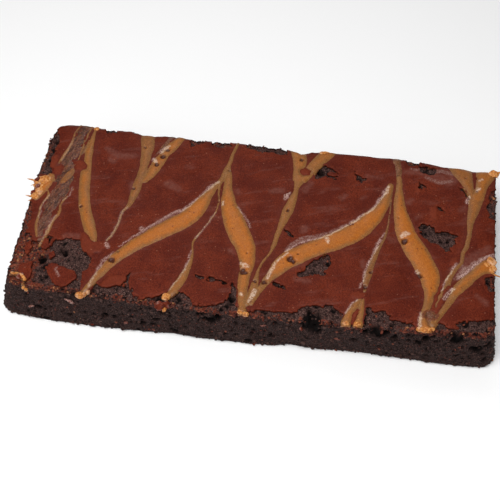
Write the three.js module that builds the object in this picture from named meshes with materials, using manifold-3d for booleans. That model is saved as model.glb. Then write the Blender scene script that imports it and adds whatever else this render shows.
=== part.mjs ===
// A slab of chocolate brownie with a feathered caramel swirl baked into its top.
//
// Millimetres, +Z up. The slab lies flat on z = 0 with its long side along X, and the cut side
// that shows most crumb faces -Y. It is one piece of food, so it is one solid: the crumb, the
// low relief of the caramel in the crust, the places where the crust has broken away, and the
// open pores of the cut sides are all the same body.

import * as THREE from "three";
import { mergeVertices } from "three/addons/utils/BufferGeometryUtils.js";
import Module from "manifold-3d";

// Driving dimensions of the slab. It was cut by hand, so each side wanders a little: a side is a
// line of [distance along it, how far out it lies], once at the crust and once at the base.
const HALF_LENGTH = 77;
const HALF_WIDTH = 34;
const THICKNESS = 18.5;
const CRUST_LINES = {
  front: [
    [-77, -33.9], [-66, -33.9], [-33, -35], [-3, -35.4], [13, -34.7], [29, -35], [44, -34.2],
    [57, -33.5], [77, -32.6],
  ],
  back: [
    [-77, 33.6], [-69, 34.3], [-60, 33.7], [-50, 33.7], [-46, 32.4], [-42, 32.5], [-38, 33.4],
    [-26, 32.9], [-14, 33.6], [2, 33.6], [6, 32.8], [10, 31.2], [14, 33], [26, 33.8], [46, 33.9],
    [54, 33.3], [62, 32.3], [70, 31.8], [77, 31.9],
  ],
  left: [[-34, -76.8], [-20, -77.3], [5, -77.8], [25, -77.3], [34, -76.8]],
  right: [[-34, 75.3], [-10, 75.7], [10, 76], [34, 76.6]],
};
const BASE_LINES = {
  front: [
    [-77, -33.9], [-70, -34.8], [-62, -35.7], [-46, -35.8], [-30, -35.5], [-22, -34.9], [-14, -35.4],
    [2, -35.2], [10, -34.7], [14, -33.6], [22, -34], [34, -33.4], [50, -33.6], [62, -34.2], [77, -33.4],
  ],
  back: [[-77, 34.6], [0, 34.9], [77, 34.2]],
  left: [[-34, -81.8], [-24, -82.2], [-10, -81.2], [34, -79.8]],
  right: [[-34, 78.8], [-20, 79.1], [34, 79]],
};
const FOOTPRINT_MIDDLE = [-1.42, -0.42]; // the plan's point that becomes the part's origin
const CORNER_RADII = { frontLeft: 3.6, frontRight: 3.6, backLeft: 5, backRight: 2.4 };
const FOOT_TUCK = 0.5; // how far the base edge tucks in under itself
const EDGE_SLUMP = 0.45; // how much lower the top lies at its edges, over SLUMP_REACH
const SLUMP_REACH = 7;
const RIM_WIDTH = 1.1; // the crust's edge is worn round over this width
const RIM_DROP = 0.4;
const CRUST_THICKNESS = 0.8;
const TEAR_RAGGEDNESS = 0.12; // how far a tear's edge strays, as a share of its straight runs
const TEAR_ROUGHNESS = 0.35; // how unevenly deep a tear is, as a share of the crust's thickness
const CLEAR_ABOVE = 3; // cutting shapes reach this far above the crust

// Grid of the slab's faces, and the coarse relief that the knife left on the cut sides.
const CELLS = { along: 36, across: 16 };
const SIDE_LEVELS = [0, 0.045, 0.27, 0.52, 0.77, 1]; // heights of the rows of a side, as shares
const CRAG_SIZE = 6.5;
const CRAG_DEPTH = 0.55;
const WAVE_HEIGHT = 0.2;

// The caramel stands a little proud of the crust, and is rooted below it. A section of a ribbon
// is a ring of [share of the half width, height above the crust as a share of the crown].
const RIBBON_SECTION = [[1.12, -1.1], [0.84, 0.55], [0, 1], [-0.84, 0.55], [-1.12, -1.1], [0, -2.8]];
const RIBBON_STEP = 4.6; // length of ribbon between two sections
const RIBBON_CROWN = 0.4;
const RIBBON_CROWN_SHARE = 0.06; // wider ribbons stand this share of their width higher
const RIBBON_END_SINK = 0.9; // a ribbon's ends dive this far into the slab
const TRIM_INSET = 0.12; // the knife cut the ribbons off just inside the slab's sides

// Each ribbon of caramel: [x, y, width] where its run or its width changes.
const RIBBONS = {
  left_smear: [[-67.3, 38, 3], [-67.8, 22, 4], [-69, 8, 5.5], [-70.5, -4, 4.5], [-71.5, -15, 2]],
  left_edge_pool: [[-72.5, 10, 1.5], [-75, 7.5, 5], [-75.6, 3, 4], [-75.8, -0.5, 2]],
  first_strand: [
    [-63.2, 37, 1.2], [-63.8, 28, 2], [-63, 20, 3.8], [-62, 11, 4.3], [-60.6, 4, 4.2],
    [-58.4, -4, 4.3], [-55.6, -10, 4.6], [-52.8, -13.8, 2],
  ],
  second_strand: [
    [-44.6, 38, 6.6], [-43.4, 25, 4.2], [-43, 17, 3.8], [-43.4, 10, 3.2], [-44.8, 4, 2.4],
    [-45.6, -1, 1.2], [-46.2, -7, 1], [-48.6, -13.5, 0.9],
  ],
  second_fork: [[-33.6, 38, 6], [-36.4, 26, 5.2], [-38.6, 20.5, 5], [-41.8, 13.5, 3]],
  long_leaf: [
    [-53.6, -38, 1.6], [-49, -29.6, 2.6], [-47, -25, 3.4], [-44.8, -21, 4.1], [-40.5, -16.6, 4.8],
    [-34.5, -11.2, 5.7], [-28, -6, 6.8], [-23, -1.4, 7], [-20, 3.2, 6.2], [-18.4, 8, 4.4],
    [-17, 12.6, 2.6], [-15.2, 18, 1.8], [-14.3, 23, 1.9], [-13.3, 28, 1.4], [-12.6, 38, 1.1],
  ],
  stem_thread: [
    [-15.1, 6, 0.9], [-16.4, 0, 0.9], [-19.6, -8, 0.9], [-20.4, -14, 1], [-20.6, -19, 1.4],
    [-21.7, -25, 2.8], [-23.2, -29.8, 3.5], [-27, -39, 2.6],
  ],
  short_leaf: [
    [-13.8, 21, 1.4], [-13.1, 15.5, 2.4], [-12.3, 10, 3.6], [-11.2, 5, 5.4], [-9.4, 0, 7],
    [-6.8, -5.2, 7.4], [-4.2, -10, 6.4], [-2.6, -15, 5], [-2.3, -20, 4.1], [-2.1, -25, 3.6],
    [-1.6, -29.6, 3], [-0.2, -39, 2.2],
  ],
  centre_strand: [
    [0.6, -31.5, 1.8], [1.4, -25.5, 2.8], [1.8, -18, 1.4], [3.8, -12.8, 1.2], [5, -7.5, 1.6],
    [6.2, -1, 2.4], [7.6, 5, 4], [9, 10.4, 2.4], [9.9, 15.5, 2], [10.6, 20, 4.2], [11.6, 24, 6.5],
  ],
  centre_fork_left: [[10.4, 20, 3], [8.8, 27, 2.6], [6.6, 37, 2.6]],
  centre_fork_right: [[11.4, 21, 3.4], [15, 27.3, 5], [19, 37, 6.6]],
  wide_leaf: [
    [1, -31.5, 1.4], [3, -25.6, 2], [5.6, -20, 3.4], [9, -14.6, 5.8], [14, -10.4, 6.6],
    [20, -6.9, 6.6], [26, -3.5, 7.4], [32, 1.3, 7.9], [35.9, 6.4, 6.8], [38.5, 11.2, 4.7],
    [40.1, 16.2, 3.1], [41, 21.4, 2.4],
  ],
  second_thread: [
    [41.8, 14, 0.9], [41, 5, 0.9], [38.8, -0.6, 1], [38.3, -6, 1.7], [37.2, -11, 2],
    [36.3, -16, 2.5], [35.2, -21, 1.9], [34.6, -25, 2.4], [33.8, -29, 4.2], [31.6, -39, 6.2],
  ],
  right_leaf: [
    [42.8, 38, 2.6], [43.2, 27, 2], [43.9, 21.5, 1.8], [44.5, 17, 2.8], [44.8, 12, 4.2],
    [45.3, 7, 5.6], [47, 2, 6.6], [49.6, -3, 7.4], [52.6, -8.2, 7.4], [54.9, -13, 7.2],
    [55.7, -17.5, 5.6], [55.4, -22, 4], [54.9, -26.4, 3.6], [54.4, -30, 4.2], [54.2, -38, 4.8],
  ],
  right_thread: [
    [57, -27, 1.6], [58.6, -21, 1.6], [60.6, -15, 1.3], [62.6, -9.8, 1.1], [65, -4.4, 1],
    [66.6, 1, 1.3], [67.2, 7, 1.9], [68, 12, 3.4], [68.9, 17, 3.9], [69.5, 21, 4.4],
  ],
  right_fork_left: [[69, 20, 3.2], [66.6, 27, 4.6], [64, 36, 5.8]],
  right_fork_right: [[69.8, 20, 3.2], [71.9, 27, 4.2], [75, 36, 6]],
  corner_leaf: [
    [56.4, -29, 1.6], [58.8, -23.6, 2], [61.2, -19.6, 3], [64.4, -15.4, 4.1], [68.4, -11.2, 4.7],
    [72, -8.2, 5.2], [80, -4.6, 6.6],
  ],
};

// Where the crust has broken off and the crumb shows: outlines as [x, y], each roughened below.
const TEARS = {
  front_left: [
    [-66, -15.2], [-57, -15.4], [-55.4, -19.6], [-52.4, -21], [-52.8, -26], [-54.6, -30],
    [-54.4, -36], [-66, -36], [-65.4, -32.4], [-57.4, -32], [-56.2, -28], [-64, -25.6], [-68.6, -26],
    [-69, -20],
  ],
  under_long_leaf: [[-46.6, -32.2], [-41, -30.4], [-38.4, -26.2], [-36.8, -32.4], [-30, -36], [-46, -36]],
  stem_foot: [[-24, -30.8], [-18.8, -31], [-16, -36], [-24.6, -36]],
  short_leaf_foot: [[-9, -33.2], [-6.6, -30.8], [-5, -26.4], [-3.8, -28], [-3, -36], [-9, -36]],
  centre_foot: [[14, -33], [17, -30.8], [21, -29.2], [26, -29.2], [29, -32], [28.8, -36], [14, -36]],
  thread_foot: [[36.4, -29], [43.4, -29.4], [44.6, -32.6], [52, -33.2], [51, -36], [36.4, -36]],
  right_corner: [[58.8, -30.8], [66, -28.8], [70, -26.8], [78, -25.4], [78, -37], [58.4, -37]],
  wide_leaf_chip: [[14.8, -19.4], [20, -11.4], [23, -10.4], [22.2, -18], [20, -16.6]],
  right_leaf_chip: [
    [51.2, 4.6], [53.4, 7], [56, 4.6], [62.4, 3.4], [62.6, -1.8], [60, -2.6], [58.6, -0.6], [53.4, 1.4],
  ],
  left_corner: [[-84, -3], [-75.2, -3], [-74.4, -12], [-72.4, -19], [-69.6, -24], [-69, -30], [-84, -30]],
  left_edge_strip: [[-84, 31], [-74.6, 31], [-74.2, 22], [-75, 11], [-84, 11]],
  back_chip: [[-8, 31.6], [1.8, 31.2], [2, 36], [-8, 36]],
  back_right_chip: [[51, 29], [56, 28], [56, 31.6], [46, 36], [45.6, 33.4]],
  centre_crack: [[16, 22], [16.8, 26.4], [22.6, 26.8], [22.2, 25], [19, 24.6], [17.4, 22]],
  left_crack: [[-17.6, -23], [-12, -24], [-8.2, -25], [-8.4, -26.2], [-12.2, -25.2], [-17.8, -24.4]],
  right_edge_chip: [[72.4, -10.6], [84, -11], [84, -17.4], [74, -17.2], [71.8, -14]],
  right_edge_strip: [[73.4, 15], [74.8, 24], [84, 25.4], [84, 15]],
};

// Open pores: [x, y, z, radius], the wide ones that show on the cut side and in the broken crust.
const PORES = [
  [20.4, -34.2, 16.2, 2.9], [21.6, -34.6, 12.8, 1.9], [-67.8, -23, 18, 1.9], [41, -34.8, 13.8, 1.9],
  [46, -35, 12.6, 1.4], [-11, -34.8, 12, 1.7], [-26.5, -35, 13, 1.2], [64.6, -34.8, 14.2, 2],
  [53.4, -34.8, 11.2, 1.5], [72, -34.8, 10, 1.7], [-55, -34, 16.6, 1.8], [-45.6, -34, 17.2, 1.4],
  [34, -35.4, 9.2, 1.3], [-68, -35.2, 6.4, 1.2], [-29, -35.4, 8.2, 1.2], [8, -35.2, 6.6, 1.1],
  [-79, -8, 10, 1.6], [-78.4, 14, 13, 1.5], [-79, 25, 6, 1.4], [78.4, 12, 12, 1.6], [78.8, -16, 7, 1.5],
  [-50, 34.8, 12, 1.5], [-12, 35, 9, 1.6], [26, 34.8, 13, 1.7], [58, 34.8, 8, 1.5],
];
const PORE_STRETCH = 1.25; // pores are drawn out along the slab
const PORE_LUMPINESS = 0.3;
const SEED = 20417;

const wasm = await Module();
wasm.setup();

// A repeatable source of numbers from 0 to 1.
function makeRandom(seed) {
  let state = seed >>> 0;
  return () => {
    state = (state + 0x6d2b79f5) >>> 0;
    let t = state;
    t = Math.imul(t ^ (t >>> 15), t | 1);
    t ^= t + Math.imul(t ^ (t >>> 7), t | 61);
    return ((t ^ (t >>> 14)) >>> 0) / 4294967296;
  };
}

// The value from -1 to 1 that belongs to one whole-numbered point of space.
function latticeValue(i, j, k) {
  let h = Math.imul(i, 374761393) ^ Math.imul(j, 668265263) ^ Math.imul(k, 1274126177) ^ SEED;
  h = Math.imul(h ^ (h >>> 13), 1103515245);
  return (((h ^ (h >>> 16)) >>> 0) / 4294967296) * 2 - 1;
}

// Smooth noise from -1 to 1 with features about one unit across.
function noise(x, y, z) {
  const [i, j, k] = [Math.floor(x), Math.floor(y), Math.floor(z)];
  const [u, v, w] = [x - i, y - j, z - k].map((t) => THREE.MathUtils.smoothstep(t, 0, 1));
  let sum = 0;
  for (const a of [0, 1])
    for (const b of [0, 1])
      for (const c of [0, 1]) {
        const weight = (a ? u : 1 - u) * (b ? v : 1 - v) * (c ? w : 1 - w);
        sum += weight * latticeValue(i + a, j + b, k + c);
      }
  return sum;
}

// How far out a side lies at one distance along it.
function sideAt(line, distance) {
  const last = line.length - 1;
  if (distance <= line[0][0]) return line[0][1];
  if (distance >= line[last][0]) return line[last][1];
  const i = line.findIndex(([at]) => at > distance);
  const [[from, start], [to, end]] = [line[i - 1], line[i]];
  return THREE.MathUtils.mapLinear(distance, from, to, start, end);
}

// Height of the crust over a point of the plan: gently waved, slumped and worn at the edges.
function crustHeight(x, y) {
  const inward = Math.min(
    x - sideAt(CRUST_LINES.left, y),
    sideAt(CRUST_LINES.right, y) - x,
    y - sideAt(CRUST_LINES.front, x),
    sideAt(CRUST_LINES.back, x) - y,
  );
  const slump = 1 - THREE.MathUtils.smoothstep(inward, 0, SLUMP_REACH);
  const rim = 1 - THREE.MathUtils.clamp(inward / RIM_WIDTH, 0, 1);
  const waves = Math.sin(x / 11 + y / 17) + 0.7 * Math.sin(y / 7.5 - x / 23);
  return THICKNESS - EDGE_SLUMP * slump * slump - RIM_DROP * rim + WAVE_HEIGHT * waves * (1 - slump);
}

// Takes a point of a square-cornered plan to the plan with rounded corners.
function roundCorner(x, y) {
  const radius = CORNER_RADII[(y < 0 ? "front" : "back") + (x < 0 ? "Left" : "Right")];
  const dx = Math.abs(x) - (HALF_LENGTH - radius);
  const dy = Math.abs(y) - (HALF_WIDTH - radius);
  if (dx <= 0 || dy <= 0) return [x, y];
  const pull = Math.max(dx, dy) / Math.hypot(dx, dy);
  return [
    Math.sign(x) * (HALF_LENGTH - radius + dx * pull),
    Math.sign(y) * (HALF_WIDTH - radius + dy * pull),
  ];
}

// Spaces one side's grid lines evenly from -1 to 1, but sets the outermost in to the rim's width.
function spaceOut(t, cells, half) {
  const inner = 1 - 2 / cells;
  if (Math.abs(t) > inner + 1e-6) return Math.sign(t);
  return (t / inner) * (1 - RIM_WIDTH / half);
}

// Where a point of the unit box (each value from -1 to 1) lies on the slab. The knife's solid is
// the same slab carried up past its crust, and set in a little.
function slabPoint(sx, sy, sz, { carryUp = 0, inset = 0 } = {}) {
  const u = spaceOut(sx, CELLS.along, HALF_LENGTH);
  const v = spaceOut(sy, CELLS.across, HALF_WIDTH);
  const [px, py] = roundCorner(u * HALF_LENGTH, v * HALF_WIDTH);
  const height = SIDE_LEVELS[Math.round(((sz + 1) / 2) * (SIDE_LEVELS.length - 1))];
  const lineOf = (side, along) =>
    THREE.MathUtils.lerp(sideAt(BASE_LINES[side], along), sideAt(CRUST_LINES[side], along), height);
  const tuck = height === 0 ? FOOT_TUCK : 0;
  const left = lineOf("left", py) + tuck;
  const right = lineOf("right", py) - tuck;
  const front = lineOf("front", px) + tuck;
  const back = lineOf("back", px) - tuck;
  let x = THREE.MathUtils.mapLinear(px, -HALF_LENGTH, HALF_LENGTH, left + inset, right - inset);
  let y = THREE.MathUtils.mapLinear(py, -HALF_WIDTH, HALF_WIDTH, front + inset, back - inset);
  const z = height * crustHeight(x, y);
  if (Math.max(Math.abs(sx), Math.abs(sy)) > 0.999) {
    const deep = Math.sin(Math.PI * Math.min(height, 0.8));
    const crag = CRAG_DEPTH * deep * noise(x / CRAG_SIZE, y / CRAG_SIZE, z / CRAG_SIZE);
    if (Math.abs(sx) > 0.999) x += Math.sign(sx) * crag;
    if (Math.abs(sy) > 0.999) y += Math.sign(sy) * crag;
  }
  return [x, y, height === 1 ? z + carryUp : z];
}

// A closed geometry as a solid that can be cut and joined.
function toSolid(geometry) {
  const bare = new THREE.BufferGeometry().setAttribute("position", geometry.getAttribute("position"));
  if (geometry.index) bare.setIndex(geometry.index);
  const merged = mergeVertices(bare, 1e-4);
  return new wasm.Manifold(
    new wasm.Mesh({
      numProp: 3,
      vertProperties: new Float32Array(merged.attributes.position.array),
      triVerts: new Uint32Array(merged.index.array),
    }),
  );
}

// A solid as a geometry with flat faces.
function toGeometry(solid) {
  const mesh = solid.getMesh();
  const geometry = new THREE.BufferGeometry();
  geometry.setAttribute("position", new THREE.BufferAttribute(new Float32Array(mesh.vertProperties), 3));
  geometry.setIndex(new THREE.BufferAttribute(new Uint32Array(mesh.triVerts), 1));
  geometry.computeVertexNormals();
  return geometry;
}

// The slab before anything is laid on it or cut from it, or the knife's solid.
function makeSlab(options) {
  const box = new THREE.BoxGeometry(2, 2, 2, CELLS.along, CELLS.across, SIDE_LEVELS.length - 1);
  const position = box.getAttribute("position");
  for (let i = 0; i < position.count; i++) {
    const corner = [position.getX(i), position.getY(i), position.getZ(i)];
    position.setXYZ(i, ...slabPoint(...corner, options));
  }
  return toSolid(box);
}

// One ribbon: sections of a low dome strung along a smooth line, closed at both ends.
function makeRibbon(stations) {
  const line = new THREE.CatmullRomCurve3(
    stations.map(([x, y, width]) => new THREE.Vector3(x, y, width)),
    false,
    "centripetal",
  );
  const steps = Math.max(3, Math.round(line.getLength() / RIBBON_STEP));
  const ring = RIBBON_SECTION.length;
  const points = [];
  for (let s = 0; s <= steps; s++) {
    const at = line.getPoint(s / steps);
    const along = line.getTangent(s / steps);
    const across = new THREE.Vector2(-along.y, along.x).normalize();
    const crown = RIBBON_CROWN + RIBBON_CROWN_SHARE * at.z;
    const sink = s === 0 || s === steps ? RIBBON_END_SINK : 0;
    for (const [side, rise] of RIBBON_SECTION) {
      const x = at.x + across.x * side * (at.z / 2);
      const y = at.y + across.y * side * (at.z / 2);
      points.push(x, y, crustHeight(x, y) + rise * crown - sink);
    }
  }
  const faces = [];
  for (let s = 0; s < steps; s++)
    for (let n = 0; n < ring; n++) {
      const [a, b] = [s * ring + n, s * ring + ((n + 1) % ring)];
      faces.push(a, b, a + ring, b, b + ring, a + ring);
    }
  for (let n = 1; n < ring - 1; n++) {
    const last = steps * ring;
    faces.push(0, n + 1, n, last, last + n, last + n + 1);
  }
  const geometry = new THREE.BufferGeometry();
  geometry.setAttribute("position", new THREE.BufferAttribute(new Float32Array(points), 3));
  geometry.setIndex(faces);
  return toSolid(geometry);
}

// The space of a place where the crust is missing: a prism with a jagged outline and a rough floor.
function makeTear(outline, random) {
  const jagged = [];
  outline.forEach(([x, y], i) => {
    const [nextX, nextY] = outline[(i + 1) % outline.length];
    jagged.push([x, y]);
    const bump = (random() - 0.5) * TEAR_RAGGEDNESS;
    jagged.push([(x + nextX) / 2 - (nextY - y) * bump, (y + nextY) / 2 + (nextX - x) * bump]);
  });
  const shape = new THREE.Shape(jagged.map(([x, y]) => new THREE.Vector2(x, y)));
  const prism = new THREE.ExtrudeGeometry(shape, { depth: 1, bevelEnabled: false });
  const position = prism.getAttribute("position");
  for (let i = 0; i < position.count; i++) {
    const [x, y] = [position.getX(i), position.getY(i)];
    const depth = CRUST_THICKNESS * (1 + TEAR_ROUGHNESS * noise(x / 3, y / 3, 2.5));
    position.setZ(i, position.getZ(i) > 0.5 ? THICKNESS + CLEAR_ABOVE : crustHeight(x, y) - depth);
  }
  return toSolid(prism);
}

// One open pore: a lumpy ball, longer along the slab than it is high.
function makePore([x, y, z, radius], random) {
  const ball = new THREE.IcosahedronGeometry(radius, 1);
  const position = ball.getAttribute("position");
  const twist = random() * 10;
  for (let i = 0; i < position.count; i++) {
    const [px, py, pz] = [position.getX(i), position.getY(i), position.getZ(i)];
    const swell = 1 + PORE_LUMPINESS * noise(px / radius + twist, py / radius, pz / radius);
    position.setXYZ(i, x + px * swell * PORE_STRETCH, y + py * swell, z + pz * swell);
  }
  return toSolid(ball);
}

// The largest of a solid's bodies: what a cut leaves loose falls away.
function keepLargest(solid) {
  return solid.decompose().reduce((best, body) => (body.volume() > best.volume() ? body : best));
}

function makeBrownie() {
  const random = makeRandom(SEED);
  const tears = Object.values(TEARS).map((outline) => makeTear(outline, random));
  const pores = PORES.map((pore) => makePore(pore, random));
  const knife = makeSlab({ carryUp: CLEAR_ABOVE, inset: TRIM_INSET });
  let body = makeSlab();
  for (const tear of tears) body = body.subtract(tear);
  for (const stations of Object.values(RIBBONS)) body = body.add(makeRibbon(stations).intersect(knife));
  for (const pore of pores) body = body.subtract(pore);
  return toGeometry(keepLargest(body)).translate(-FOOTPRINT_MIDDLE[0], -FOOTPRINT_MIDDLE[1], 0);
}

const brownieMaterial = new THREE.MeshStandardMaterial({
  color: new THREE.Color().setRGB(93 / 255, 38 / 255, 26 / 255, THREE.SRGBColorSpace),
  roughness: 0.5,
  metalness: 0,
});

const root = new THREE.Group();
const brownie = new THREE.Mesh(makeBrownie(), brownieMaterial);
brownie.name = "brownie";
root.add(brownie);

export default root;
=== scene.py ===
"""Dresses the brownie slab: its open crumb, browned crust, baked caramel and loose crumbs.

The slab is drawn on a plan in millimetres, with x along it, y to the back and z up from the
board. A mesh comes to the part's own frame, in metres, when its piece is finished.
"""

import logging
import math
from collections.abc import Callable
from dataclasses import dataclass, field
from enum import Enum
from typing import ClassVar

import bpy
import numpy as np
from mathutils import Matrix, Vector

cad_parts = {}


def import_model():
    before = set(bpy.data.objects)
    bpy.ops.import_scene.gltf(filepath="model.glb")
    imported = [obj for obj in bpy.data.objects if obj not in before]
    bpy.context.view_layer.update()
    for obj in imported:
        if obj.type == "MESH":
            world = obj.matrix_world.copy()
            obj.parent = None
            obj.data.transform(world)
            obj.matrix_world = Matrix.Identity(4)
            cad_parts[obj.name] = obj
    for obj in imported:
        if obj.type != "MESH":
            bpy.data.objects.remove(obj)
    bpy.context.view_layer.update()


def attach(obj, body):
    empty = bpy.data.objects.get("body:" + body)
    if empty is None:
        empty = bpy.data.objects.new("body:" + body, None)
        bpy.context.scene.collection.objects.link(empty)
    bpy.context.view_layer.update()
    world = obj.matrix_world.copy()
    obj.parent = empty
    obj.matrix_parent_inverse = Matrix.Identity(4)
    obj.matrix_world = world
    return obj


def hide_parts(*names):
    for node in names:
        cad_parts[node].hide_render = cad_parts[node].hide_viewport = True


Station = tuple[float, float, float]
Point = tuple[float, float]
Colour = tuple[float, float, float]
Array = np.ndarray
Material = bpy.types.Material
Socket = bpy.types.NodeSocket
Value = Socket | Colour | float  # what a socket can be fed with

log = logging.getLogger("brownie")

MM = 0.001
PLAN_MIDDLE = (-1.42, -0.42)  # the plan's point that lies over the part's origin
ON_FACE = 1e-4  # a share of the height closer than this to 0 or 1 is the base or the top

# Noise is worked out from these numbers, so it is the same on each run. Every use of it has a
# seed of its own.
LATTICE_SEED = 20417
LATTICE_STEPS = (374761393, 668265263, 1274126177)
LATTICE_MIX = 1103515245
OCTAVE_SHARE = 0.55  # how strong each finer layer of noise is beside the last
SCATTER = 0.45  # how far a cell's point strays from its middle, as a share of the cell


# Noise

def lattice(i: Array, j: Array, k: Array, seed: int = LATTICE_SEED) -> Array:
    """Value from -1 to 1 that belongs to each whole-numbered point of space.

    Args:
        i, j, k: whole coordinates.
        seed: another seed gives other values.

    Returns:
        One value for each point.
    """
    a, b, c = (
        np.asarray(v).astype(np.int64).astype(np.uint32) * np.uint32(step)
        for v, step in zip((i, j, k), LATTICE_STEPS)
    )
    h = a ^ b ^ c ^ np.uint32(seed)
    h = (h ^ (h >> np.uint32(13))) * np.uint32(LATTICE_MIX)
    return (h ^ (h >> np.uint32(16))) / 2.0**32 * 2 - 1


def noise(p: Array, size: float, seed: int = LATTICE_SEED) -> Array:
    """Smooth noise from -1 to 1.

    Args:
        p: points, one a row, in millimetres.
        size: size of its lumps in millimetres.
        seed: another seed gives other lumps.

    Returns:
        One value for each point.
    """
    q = p / size
    cell = np.floor(q)
    t = q - cell
    t = t * t * (3 - 2 * t)
    total = np.zeros(len(p))
    for corner in range(8):
        a, b, c = corner & 1, (corner >> 1) & 1, (corner >> 2) & 1
        weight = (
            (t[:, 0] if a else 1 - t[:, 0])
            * (t[:, 1] if b else 1 - t[:, 1])
            * (t[:, 2] if c else 1 - t[:, 2])
        )
        total += weight * lattice(cell[:, 0] + a, cell[:, 1] + b, cell[:, 2] + c, seed)
    return total


def fractal(p: Array, size: float, octaves: int, seed: int) -> Array:
    """Noise with ever finer lumps on its lumps, about -1 to 1.

    Args:
        p: points, one a row, in millimetres.
        size: size of the largest lumps.
        octaves: how many sizes of lump there are, each half the last.
        seed: another seed gives other lumps.

    Returns:
        One value for each point.
    """
    total = np.zeros(len(p))
    share = 1.0
    reach = 0.0
    for octave in range(octaves):
        total += share * noise(p, size / 2**octave, seed + 31 * octave)
        reach += share
        share *= OCTAVE_SHARE
    return total / reach


def cells(p: Array, size: float, seed: int) -> tuple[Array, Array]:
    """Distance to the nearest of the scattered points that fill space, one to each cell.

    Args:
        p: points, one a row, in millimetres.
        size: size of a cell.
        seed: another seed scatters them differently.

    Returns:
        The distance as a share of the cell's size, and a value from 0 to 1 of the nearest point.
    """
    q = p / size
    base = np.floor(q)
    nearest = np.full(len(p), 9.0)
    value = np.zeros(len(p))
    for dx in (-1, 0, 1):
        for dy in (-1, 0, 1):
            for dz in (-1, 0, 1):
                i, j, k = base[:, 0] + dx, base[:, 1] + dy, base[:, 2] + dz
                away = (
                    (i + 0.5 + SCATTER * lattice(i, j, k, seed) - q[:, 0]) ** 2
                    + (j + 0.5 + SCATTER * lattice(i, j, k, seed + 1) - q[:, 1]) ** 2
                    + (k + 0.5 + SCATTER * lattice(i, j, k, seed + 2) - q[:, 2]) ** 2
                )
                closer = away < nearest
                nearest = np.where(closer, away, nearest)
                value = np.where(closer, lattice(i, j, k, seed + 3) * 0.5 + 0.5, value)
    return np.sqrt(nearest), value


def ease(value: Array, low: float, high: float) -> Array:
    """Smooth step of a value from 0 at low to 1 at high."""
    t = np.clip((value - low) / (high - low), 0, 1)
    return t * t * (3 - 2 * t)


def on_plan(x: Array, y: Array) -> Array:
    """Points of the plan as points of space, one a row."""
    return np.column_stack([x, y, np.zeros(len(x))])


def strayed(x: Array, y: Array, layers: tuple[Point, ...], seed: int) -> tuple[Array, Array]:
    """Points shifted by noise, which gives what is drawn on the plan an uneven edge.

    Args:
        x, y: points of the plan.
        layers: how far each layer of noise shifts them, and the size of its lumps.
        seed: the first layer's seed.

    Returns:
        The shifted x and y.
    """
    p = on_plan(x, y)
    shifted = []
    for axis, values in enumerate((x, y)):
        for layer, (far, size) in enumerate(layers):
            values = values + far * noise(p, size, seed + axis * len(layers) + layer)
        shifted.append(values)
    return shifted[0], shifted[1]


# The slab's plan

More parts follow.
